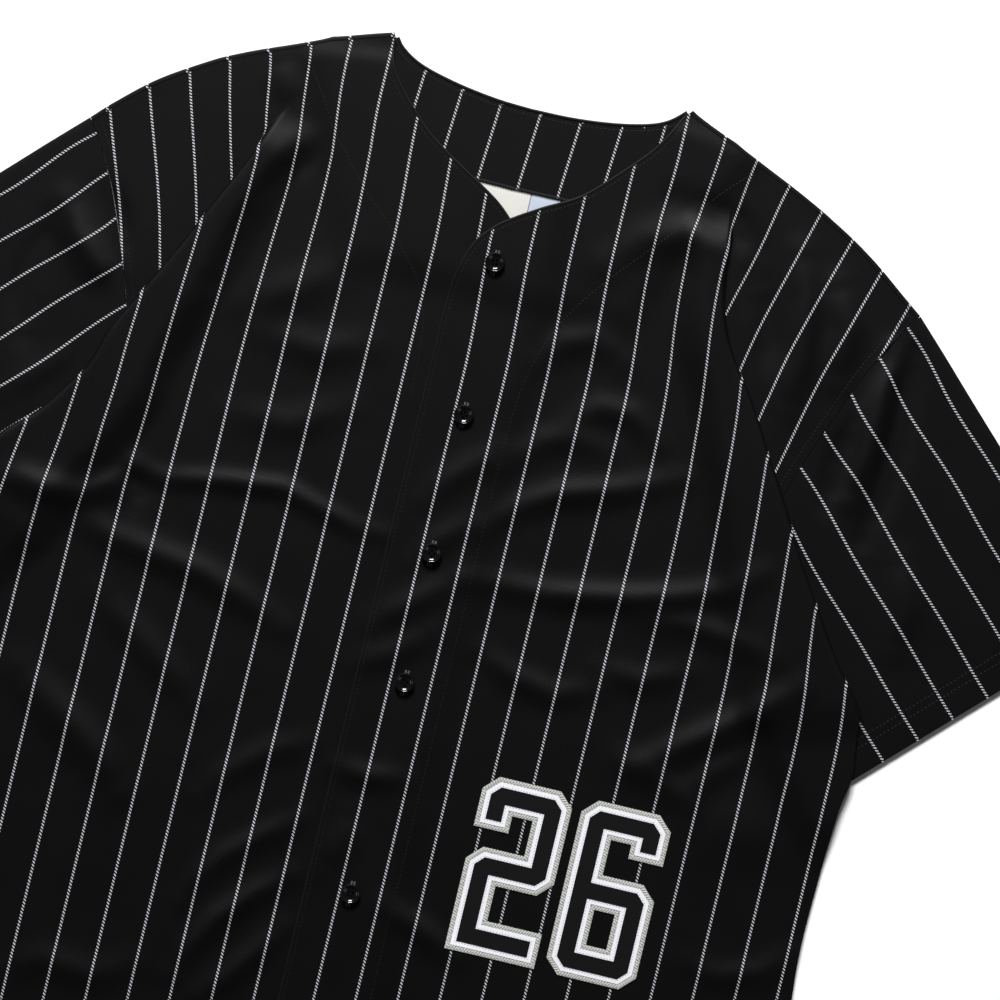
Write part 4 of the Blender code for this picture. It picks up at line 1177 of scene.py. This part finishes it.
# %% The rolled piping
PIPING_HEIGHT = 1.2
PIPING_SIDES = 12
PIPING_WEAVE = 0.4 * MM
BACK_PIPING_TRIM = 3.0


def path_normals(path, side):
    """Directions that move a path square to its stretches, to its right for side 1."""
    squares = []
    for start, end in zip(path, path[1:]):
        run = (end - start).normalized()
        squares.append(Vector((run.y, -run.x)) * side)
    pairs = zip([squares[0]] + squares, squares + [squares[-1]])
    return [(a + b) / (1 + a.dot(b)) for a, b in pairs]


def trimmed(path, start, end):
    """Leave out a length of a path at each end."""
    while (path[1] - path[0]).length < start:
        start -= (path[1] - path[0]).length
        path = path[1:]
    path = [path[0] + (path[1] - path[0]).normalized() * start] + path[1:]
    return path if not end else trimmed(path[::-1], end, 0)[::-1]


def path_arrays(path):
    """A path's numbers across and along."""
    return np.array([p.x for p in path]), np.array([p.y for p in path])


def front_edge_path(side, away):
    """The edge of a front, from the shoulder down to the hem, moved inwards."""
    path = chain(FRONT_NECK[side], side=side)[:-1]
    path += straight((PLACKET_EDGE * side, PLACKET_START), (PLACKET_EDGE * side, HEM_LINE))
    outward = path_normals(path, side)
    path = [p - n * away for p, n in zip(path, outward)]
    return trimmed(path, OUTER + SHOULDER_WRAP + 3 * SEAM, 0)


def make_piping(name, node, path, outward, height, centre):
    """A tube along a path, from rings of points joined by faces."""
    shell = Shell(striped(0.0))
    columns = []
    for i in range(PIPING_SIDES):
        angle = tau * i / PIPING_SIDES
        flat = [tuple(p + n * (PIPING_WIDTH / 2 * cos(angle))) for p, n in zip(path, outward)]
        columns.append(shell.add(flat, centre + height / 2 * sin(angle)))
    rings = list(zip(*columns))
    for start, end in zip(rings, rings[1:]):
        for i in range(PIPING_SIDES):
            j = (i + 1) % PIPING_SIDES
            shell.faces.append([start[i], end[i], end[j], start[j]])
    shell.faces.append(list(rings[0]))
    shell.faces.append(list(rings[-1])[::-1])
    return dress(shell.build(name, PIPING), "piping", node)


def piping_material():
    n = Nodes("piping_bias", 0.5, specular=0.11)
    place = n.place()
    grain = n.noise(place, 1400.0, 3.0)
    colour = n.mix(grain, (0.002, 0.002, 0.0023, 1), (0.004, 0.004, 0.0045, 1))
    weave = n.math("MULTIPLY", n.wave(place, 1 / PIPING_WEAVE, radians(45)),
                   n.wave(place, 1 / PIPING_WEAVE, radians(-45)))
    return n.finish(colour, n.bump(n.math("ADD", weave, grain), 0.07 * MM, 0.6))


PIPING = piping_material()


def make_front_piping(side, name, node):
    path = front_edge_path(side, PIPING_WIDTH / 2)
    outward = path_normals(path, side)
    x, y = path_arrays(path)
    centre = SKIN + PIPING_HEIGHT / 2 + front_raise(x, y, side)
    if side < 0:
        path, outward, centre = path[::-1], outward[::-1], centre[::-1]
    return make_piping(name, node, path, outward, PIPING_HEIGHT, centre)


def make_back_piping():
    path = chain(BACK_NECK[-1], side=-1)[::-1][:-1] + chain(BACK_NECK[1])
    outward = [-n for n in path_normals(path, 1)]
    path = [p - n * (PIPING_WIDTH / 2) for p, n in zip(path, outward)]
    path = trimmed(path, BACK_PIPING_TRIM, BACK_PIPING_TRIM)
    outward = [-n for n in path_normals(path, 1)]
    centre = np.full(len(path), -OUTER + WALL / 2)
    return make_piping("back_neck_piping", "piping_back", path[::-1], outward[::-1], WALL, centre)


make_front_piping(-1, "right_front_piping", "piping_right")
make_front_piping(1, "left_front_piping", "piping_left")
make_back_piping()

# %% [markdown]
# ## Buttons
#
# A shirt button is turned from a rod: a flat foot, a rounded rim and a dished middle with four holes.
# In Blender a disc is extruded upwards in steps, each step resized to the next radius of the profile.
# One button is modelled and the others are copies.

# %% One button
BUTTON_RADIUS = 6.2
BUTTON_HEIGHT = 2.6
BUTTONS = [Spot(0.5, -121.8), Spot(3.7, -218), Spot(4.4, -306), Spot(6.8, -388),
           Spot(4.7, -523), Spot(4.5, -612), Spot(4.0, -700)]
ProfileRow = namedtuple("ProfileRow", "part height")
BUTTON_PROFILE = [
    ProfileRow(0.80, 0.0), ProfileRow(0.93, 0.45), ProfileRow(0.99, 1.1), ProfileRow(1.0, 1.6),
    ProfileRow(0.975, 2.15), ProfileRow(0.93, 2.5), ProfileRow(0.875, BUTTON_HEIGHT),
    ProfileRow(0.82, 2.5), ProfileRow(0.77, 2.2), ProfileRow(0.70, 1.75), ProfileRow(0.60, 1.35),
    ProfileRow(0.48, 1.1), ProfileRow(0.30, 1.0), ProfileRow(0.10, 0.98)]
HOLE_RADIUS = 0.75
HOLE_AWAY = 1.595
HOLES = 4
HOLE_SIDES = 14
BUTTON_SIDES = 40
BUTTON_LIFT = 0.4
BUTTON_TURN = 17.0
BUTTON_SHARP = 35.0


def deselect():
    for thing in bpy.context.selected_objects:
        thing.select_set(False)


def button_seed():
    """A button at the origin, in millimetres, with its foot on the floor."""
    deselect()
    first = BUTTON_PROFILE[0]
    bpy.ops.mesh.primitive_circle_add(vertices=BUTTON_SIDES, radius=BUTTON_RADIUS * first.part,
                                      fill_type="NGON")
    seed = bpy.context.object
    bpy.ops.object.mode_set(mode="EDIT")
    bpy.ops.mesh.select_all(action="SELECT")
    bpy.ops.mesh.flip_normals()
    for before, row in zip(BUTTON_PROFILE, BUTTON_PROFILE[1:]):
        step_up = row.height - before.height
        bpy.ops.mesh.extrude_region_move(TRANSFORM_OT_translate={"value": (0, 0, step_up)})
        share = row.part / before.part
        bpy.ops.transform.resize(value=(share, share, 1))
    bpy.ops.mesh.select_all(action="SELECT")
    bpy.ops.mesh.normals_make_consistent(inside=False)
    bpy.ops.object.mode_set(mode="OBJECT")
    return seed


def drill(seed):
    """Cut the four thread holes."""
    for i in range(HOLES):
        angle = tau * (i + 0.5) / HOLES
        deselect()
        place = (HOLE_AWAY * cos(angle), HOLE_AWAY * sin(angle), 1.0)
        bpy.ops.mesh.primitive_cylinder_add(vertices=HOLE_SIDES, radius=HOLE_RADIUS, depth=6, location=place)
        cutter = bpy.context.object
        deselect()
        bpy.context.view_layer.objects.active = seed
        cut = seed.modifiers.new("hole", "BOOLEAN")
        cut.operation = "DIFFERENCE"
        cut.solver = "EXACT"
        cut.object = cutter
        bpy.ops.object.modifier_apply(modifier=cut.name)
        bpy.data.objects.remove(cutter)


def button_material():
    n = Nodes("button_polyester", 0.14, specular=0.6)
    place = n.place()
    swirl = n.noise(place, 220.0, 4.0, 0.6)
    colour = n.mix(swirl, (0.001, 0.001, 0.0012, 1), (0.003, 0.003, 0.0033, 1))
    rough = n.math("MULTIPLY_ADD", n.noise(place, 900.0, 3.0), 0.12, 0.08)
    return n.finish(colour, n.bump(n.noise(place, 700.0, 2.0), 0.03 * MM, 0.3), rough)


def mesh_arrays(mesh):
    """A mesh's points and faces as arrays and lists."""
    points = np.zeros(len(mesh.vertices) * 3)
    mesh.vertices.foreach_get("co", points)
    return points.reshape(-1, 3), [list(f.vertices) for f in mesh.polygons]


seed = button_seed()
drill(seed)
BUTTON_POINTS, BUTTON_FACES = mesh_arrays(seed.data)
bpy.data.objects.remove(seed)
BUTTON = button_material()


def button_floor(spot):
    """The level of a button's foot above the floor."""
    raised = float(front_raise(np.array([float(spot.across)]), np.array([float(spot.along)]), 1)[0])
    return FLOOR_TO_MIDDLE + OUTER + SEAM + raised + BUTTON_LIFT


def make_button(number, spot):
    turn = radians(BUTTON_TURN * number)
    x, y, z = BUTTON_POINTS.T
    places = np.stack([x * cos(turn) - y * sin(turn) + spot.across,
                       x * sin(turn) + y * cos(turn) + spot.along - MIDDLE_ALONG,
                       z + button_floor(spot)], axis=-1)
    piece = make_piece(f"placket_button_{number}", places, BUTTON_FACES, BUTTON,
                       sharp=BUTTON_SHARP)
    return dress(piece, "button", f"button_{number}")


for number, spot in enumerate(BUTTONS, start=1):
    make_button(number, spot)

# %% [markdown]
# ## Numbers
#
# Each digit is an applique of three layers of twill: a grey one below, a white one, and a black face.
# They are cut smaller and smaller, so that each lower one shows as a band round the next. The grey
# band is covered with thread, so its ribs are wider.

# %% The shapes of the digits
DIGIT_WIDTH = 57.0
DIGIT_HEIGHT = 111.0
DIGIT_STROKE = 22.0
DIGIT_CORNER = 9.0
DIGIT_PLACES = {"2": (69.0, -542.0), "6": (132.0, -542.0)}
BAND_WIDTH = 3.0
GREY_TOP = 0.35
WHITE_TOP = 0.65
BLACK_TOP = 0.95
DIGIT_GRID = 3.0
GREY_RIB = 1.7 * MM


def digit_shape(digit):
    """The outline of a block digit and its holes, from its width, height and stroke."""
    w, h, s, c = DIGIT_WIDTH, DIGIT_HEIGHT, DIGIT_STROKE, DIGIT_CORNER
    mid_low = (h - s) / 2
    mid_high = (h + s) / 2
    if digit == "2":
        rows = [(0, 0), (w, 0), (w, s), (s, s), (s, mid_low), (w - c, mid_low), (w, mid_low + c),
                (w, h - c), (w - c, h), (c, h), (0, h - c), (0, h - 1.5 * s), (s, h - 1.5 * s),
                (s, h - s), (w - s, h - s), (w - s, mid_high), (c, mid_high), (0, mid_high - c)]
        return rows, []
    rows = [(c, 0), (w - c, 0), (w, c), (w, mid_high - c), (w - c, mid_high), (s, mid_high),
            (s, h - s), (w - s, h - s), (w - s, h - 1.4 * s), (w, h - 1.4 * s), (w, h - c),
            (w - c, h), (c, h), (0, h - c), (0, c)]
    hole = [(s, s), (w - s, s), (w - s, mid_low), (s, mid_low)]
    return rows, [hole]


def loop_sides(points, step=2.0):
    """A closed outline with points along its straight sides."""
    sides = zip(points, points[1:] + points[:1])
    return ring(*[("edge", straight(a, b, step)) for a, b in sides])


def digit_loops(digit, away):
    """A digit's outline and holes, moved into the digit by a distance."""
    left, low = DIGIT_PLACES[digit]
    rows, holes = digit_shape(digit)
    corners = [Vector((left + x, low + y)) for x, y in rows]
    outer = inset((corners, ["edge"] * len(corners)), {"edge": away})[0]
    inner = []
    for hole in holes:
        corners = [Vector((left + x, low + y)) for x, y in hole]
        inner.append(inset((corners, ["edge"] * len(corners)), {"edge": -away})[0])
    return outer, inner


def twill(name, dark, light, specular=0.3, rib=0.75 * MM):
    """Twill has fine diagonal ribs."""
    n = Nodes(name, 0.6, specular=specular)
    cut = n.cut_map()
    ribs = n.wave(cut, 1 / rib, radians(-38.0), 0.8)
    grain = n.noise(cut, 1300.0, 3.0)
    tint = n.mix(n.math("MULTIPLY_ADD", ribs, 0.55, n.math("MULTIPLY", grain, 0.45)), dark, light)
    return n.finish(tint, n.bump(n.math("ADD", ribs, grain), 0.1 * MM, 0.7))


BLACK_TWILL = twill("black_twill", (0.0015, 0.0015, 0.0017, 1), (0.004, 0.004, 0.0045, 1), 0.14)
WHITE_TWILL = twill("white_twill", (0.55, 0.55, 0.60, 1), (0.85, 0.85, 0.88, 1))
GREY_TWILL = twill("grey_satin_stitch", (0.10, 0.10, 0.09, 1), (0.52, 0.53, 0.50, 1), rib=GREY_RIB)


def make_layer(name, digit, away, low, high, material):
    outer, holes = digit_loops(digit, away)
    outline = loop_sides(outer)
    hole_loops = [loop_sides(hole)[0] for hole in holes]
    mesh = flat_mesh(outline, DIGIT_GRID, folded=False, holes=hole_loops)
    shell = wall(outline, mesh, lambda x, y: low + front_raise(x, y, 1),
                 lambda x, y: high + front_raise(x, y, 1), striped(0.0))
    return shell.build(name, material)


def make_digit(digit):
    base = OUTER + SEAM
    grey = make_layer(f"number_{digit}_grey", digit, 0.0, base, base + GREY_TOP, GREY_TWILL)
    white = make_layer(f"number_{digit}_white", digit, BAND_WIDTH, base + GREY_TOP, base + WHITE_TOP,
                       WHITE_TWILL)
    black = make_layer(f"number_{digit}_black", digit, 2 * BAND_WIDTH, base + WHITE_TOP,
                       base + BLACK_TOP, BLACK_TWILL)
    dress(grey, "number", f"number_{digit}")
    dress(white, "number")
    dress(black, "number")


for digit in DIGIT_PLACES:
    make_digit(digit)

# %% [markdown]
# ## Stitches
#
# A sewing machine leaves a row of short thread bars, each sunk into the cloth at both ends. A low
# sphere is stretched into one bar, and its few points are copied along each seam's path on the cut.
# Each row becomes one mesh, because thousands of separate objects would be slow.

# %% One stitch
Stitch = namedtuple("Stitch", "length width height pitch degrees")
TOPSTITCH = Stitch(1.9, 0.42, 0.34, 2.7, 0.0)
STITCH_SHARP = 60.0
LOOK_AHEAD = 0.2
THREAD_DARK = 0.6


def stitch_seed():
    """A bar with a length, width and height of 1, along X."""
    deselect()
    bpy.ops.mesh.primitive_uv_sphere_add(segments=6, ring_count=4, radius=0.5)
    seed = bpy.context.object
    bpy.ops.object.mode_set(mode="EDIT")
    bpy.ops.mesh.select_all(action="SELECT")
    bpy.ops.transform.rotate(value=pi / 2, orient_axis="Y", center_override=(0, 0, 0))
    bpy.ops.object.mode_set(mode="OBJECT")
    arrays = mesh_arrays(seed.data)
    bpy.data.objects.remove(seed)
    return arrays


STITCH_POINTS, STITCH_FACES = stitch_seed()


def evenly(path, pitch):
    """Places and directions at even steps along a flat path."""
    spots = np.array([tuple(p) for p in path])
    steps = np.linalg.norm(np.diff(spots, axis=0), axis=1)
    passed = np.concatenate([[0.0], np.cumsum(steps)])

    def spots_at(run):
        return np.stack([np.interp(run, passed, spots[:, i]) for i in range(2)], axis=-1)

    at = np.arange(pitch / 2, passed[-1], pitch)
    x, y = spots_at(at).T
    ahead = spots_at(at + LOOK_AHEAD) - spots_at(at - LOOK_AHEAD)
    return x, y, ahead / np.linalg.norm(ahead, axis=1)[:, None]


def sew(name, rows, material, slot, stitch=TOPSTITCH):
    """One mesh of stitches along several rows, each a flat path and the height of its cloth."""
    places, faces = [], []
    lean = radians(stitch.degrees)
    size = np.array(stitch[:3])
    for path, height in rows:
        x, y, ahead = evenly(path, stitch.pitch)
        turned_x = ahead[:, 0] * cos(lean) - ahead[:, 1] * sin(lean)
        turned_y = ahead[:, 0] * sin(lean) + ahead[:, 1] * cos(lean)
        up = height(x, y)
        centre = laid(x, y, up)
        along = laid(x + turned_x, y + turned_y, up) - centre
        along /= np.linalg.norm(along, axis=1)[:, None]
        above = laid(x, y, up + 1.0) - centre
        sideways = np.cross(above, along)
        parts = STITCH_POINTS * size
        bars = (centre[:, None] + parts[None, :, :1] * along[:, None]
                + parts[None, :, 1:2] * sideways[:, None] + parts[None, :, 2:] * above[:, None])
        for bar in bars:
            base = len(places) * len(STITCH_POINTS)
            places.append(bar)
            faces += [[base + i for i in face] for face in STITCH_FACES]
    piece = make_piece(name, np.concatenate(places), faces, material, sharp=STITCH_SHARP)
    return dress(piece, slot)


def thread(name, colour, specular):
    """Thread of one colour, a little darker in places."""
    n = Nodes(name, 0.5, specular=specular)
    dark = tuple(c * THREAD_DARK for c in colour[:3]) + (1,)
    return n.finish(n.mix(n.noise(n.place(), 1200.0, 2.0), dark, colour))


BLACK_THREAD = thread("black_thread", (0.006, 0.006, 0.007, 1), 0.22)


# %% [markdown]
# The rows follow the seams at a sewer's usual distances: close to the neck and the placket, along the
# edge of the facing under each front, beside the armholes, and twice along each sleeve hem. Slanted
# bars, close together, cover the lower edge of the neck facing. The last points of some rows are left
# out, where the cloth runs under another piece.

# %% The rows of stitches
SUNK = 0.02
NECK_ROW = 3.6
ARMHOLE_ROW = 5.0
HEM_ROW = 18.0
SLEEVE_ROWS = (15.0, 20.0)
BACK_NECK_ROW = 4.4
SERGING = Stitch(2.8, 0.8, 0.5, 1.0, 78.0)


def on_front(side):
    return lambda x, y: OUTER + front_raise(x, y, side) - SUNK


def on_sleeve(side):
    points = sleeve_outline(side)[0]
    return lambda x, y: OUTER + sleeve_raise(x, y, points) - SUNK


def moved_path(path, side, away):
    """A path beside another one."""
    inward = path_normals(path, side)
    return [p + n * away for p, n in zip(path, inward)]


FACING_LINE = {
    1: [Spot(149, -27), Spot(130, -49), Spot(112, -74), Spot(95, -91), Spot(72, -115),
        Spot(57, -135), Spot(46, -154), Spot(37, -181), Spot(33, -215), Spot(32, -290),
        Spot(32, -742)],
    -1: [Spot(148, -19), Spot(125, -54), Spot(119, -65), Spot(104, -81), Spot(91, -94),
         Spot(67, -116), Spot(54, -131), Spot(44, -143), Spot(36, -162), Spot(32.5, -180),
         Spot(31, -215)],
}
for side, word in ((-1, "right"), (1, "left")):
    rows = [(front_edge_path(side, NECK_ROW), on_front(side)),
            (chain(FACING_LINE[side], side=side), on_front(side)),
            (moved_path(chain(ARMHOLE, side=side), side, ARMHOLE_ROW)[2:-3], on_front(side)),
            (moved_path(chain(HEM, side=side), side, HEM_ROW)[3:-8], on_front(side))]
    sew(f"{word}_front_topstitch", rows, BLACK_THREAD, "cloth")
    hem = chain(SLEEVE_HEM, side=side)
    rows = [(moved_path(hem, side, away)[1:-1], on_sleeve(side)) for away in SLEEVE_ROWS]
    sew(f"{word}_sleeve_hem_stitch", rows, BLACK_THREAD, "cloth")

bottom = [Spot(100, -58), Spot(60, -72), Spot(0, -74.5)]
edges = [(chain(bottom, side=side), level(OUTER)) for side in (1, -1)]
sew("facing_serging", edges, BLACK_THREAD, "cloth", SERGING)
neck_edges = [(moved_path(chain(BACK_NECK[side], side=side)[::-1], side, -BACK_NECK_ROW)[2:],
               level(OUTER)) for side in (1, -1)]
sew("back_neck_topstitch", neck_edges, BLACK_THREAD, "cloth")

# %% [markdown]
# A buttonhole has a close row of short bars down each side, and each button covers most of its own.
# The number is sewn on with slanted bars over its grey band and a row on its white one.

# %% The buttonholes and the number's stitches
HOLE_HALF = 8.2
HOLE_SIDE = 0.9
BUTTONHOLE = Stitch(0.5, 1.5, 0.45, 0.62, 0.0)
EDGE_STITCH = Stitch(3.4, 1.05, 0.55, 1.7, 62.0)
FACE_STITCH = Stitch(1.2, 0.5, 0.35, 1.9, 0.0)
FACE_ROW = 2 * BAND_WIDTH - 0.8
FACE_LIFT = 0.01
rows = []
for spot in BUTTONS:
    for away in (-HOLE_SIDE, HOLE_SIDE):
        start = Vector((spot.across + away, spot.along - HOLE_HALF))
        end = Vector((spot.across + away, spot.along + HOLE_HALF))
        rows.append(([start, end], on_front(1)))
PALE_THREAD = thread("pale_thread", (0.10, 0.10, 0.11, 1), 0.4)
sew("buttonhole_stitch", rows, PALE_THREAD, "cloth", BUTTONHOLE)


def on_digit(top):
    return lambda x, y: OUTER + SEAM + top + front_raise(x, y, 1)


def digit_rows(digit, away, top):
    """Closed rows inside a digit's outline and round its holes, at the top of a layer."""
    outer, holes = digit_loops(digit, away)
    return [(loop + loop[:1], on_digit(top)) for loop in [outer] + holes]


GREY_THREAD = thread("grey_thread", (0.50, 0.51, 0.48, 1), 0.3)
WHITE_THREAD = thread("white_thread", (0.55, 0.55, 0.62, 1), 0.3)
for digit in DIGIT_PLACES:
    edge_rows = digit_rows(digit, BAND_WIDTH / 2, GREY_TOP)
    sew(f"number_{digit}_edge_stitch", edge_rows, GREY_THREAD, "number", EDGE_STITCH)
    face_rows = digit_rows(digit, FACE_ROW, WHITE_TOP + FACE_LIFT)
    sew(f"number_{digit}_face_stitch", face_rows, WHITE_THREAD, "number", FACE_STITCH)

# %% [markdown]
# ## Floor, light and camera
#
# The jersey lies on a white floor under soft light. The camera looks straight down on the upper part
# of the garment, turned so that the garment leans in the picture.

# %% The floor
FLOOR_SIZE = 30.0
FLOOR_DROP = 0.0005


def floor_material():
    n = Nodes("pale_floor", 0.9, specular=0.1)
    tint = n.mix(n.noise(n.place(), 40.0, 3.0), (0.84, 0.84, 0.84, 1), (0.87, 0.87, 0.87, 1))
    return n.finish(tint)


deselect()
bpy.ops.mesh.primitive_plane_add(size=FLOOR_SIZE, location=(0, 0, -FLOOR_DROP))
floor = bpy.context.object
floor.name = "floor"
floor.data.materials.append(floor_material())


# %% [markdown]
# One big soft light comes from beyond the neck and low enough to shade the creases. Two weak ones and
# a dim surround keep the shadows open.

# %% The lights
Softbox = namedtuple("Softbox", "name place size watts")
SOFTBOXES = [
    Softbox("key_light", (-0.9, 3.7, 2.6), (2.0, 1.2), 480),
    Softbox("left_fill_light", (-3.6, -1.6, 2.2), (2.0, 2.0), 14),
    Softbox("right_fill_light", (3.4, -2.2, 2.2), (2.0, 2.0), 14),
]
LIGHT_AIM = Vector((0.0, 0.1, 0.0))
SURROUND_TINT = (0.95, 0.97, 1.0, 1)
SURROUND_STRENGTH = 0.06


def add_softbox(box):
    """A rectangular light that faces the garment."""
    light = bpy.data.lights.new(box.name, "AREA")
    light.shape = "RECTANGLE"
    light.size, light.size_y = box.size
    light.energy = box.watts
    lamp = bpy.data.objects.new(box.name, light)
    lamp.location = box.place
    lamp.rotation_euler = (LIGHT_AIM - Vector(box.place)).to_track_quat("-Z", "Y").to_euler()
    bpy.context.scene.collection.objects.link(lamp)


for box in SOFTBOXES:
    add_softbox(box)
world = bpy.data.worlds.new("studio")
bpy.context.scene.world = world
world.use_nodes = True
surround = world.node_tree.nodes["Background"]
surround.inputs["Color"].default_value = SURROUND_TINT
surround.inputs["Strength"].default_value = SURROUND_STRENGTH

# %% [markdown]
# The lens is worked out from how wide a stretch of floor has to fill the picture, seen from above.

# %% The camera
FRAME_WIDTH = 0.621
CAMERA_HEIGHT = 2.2
SENSOR = 36.0
LEAN = radians(13.5)
LOOK_AT = (0.0378, 0.1075)
camera_data = bpy.data.cameras.new("camera")
camera_data.sensor_width = SENSOR
camera_data.lens = SENSOR * CAMERA_HEIGHT / FRAME_WIDTH
camera = bpy.data.objects.new("camera", camera_data)
camera.location = (*LOOK_AT, CAMERA_HEIGHT)
camera.rotation_euler = (0.0, 0.0, LEAN)
bpy.context.scene.collection.objects.link(camera)
bpy.context.scene.camera = camera
bpy.context.scene.view_settings.view_transform = "Standard"
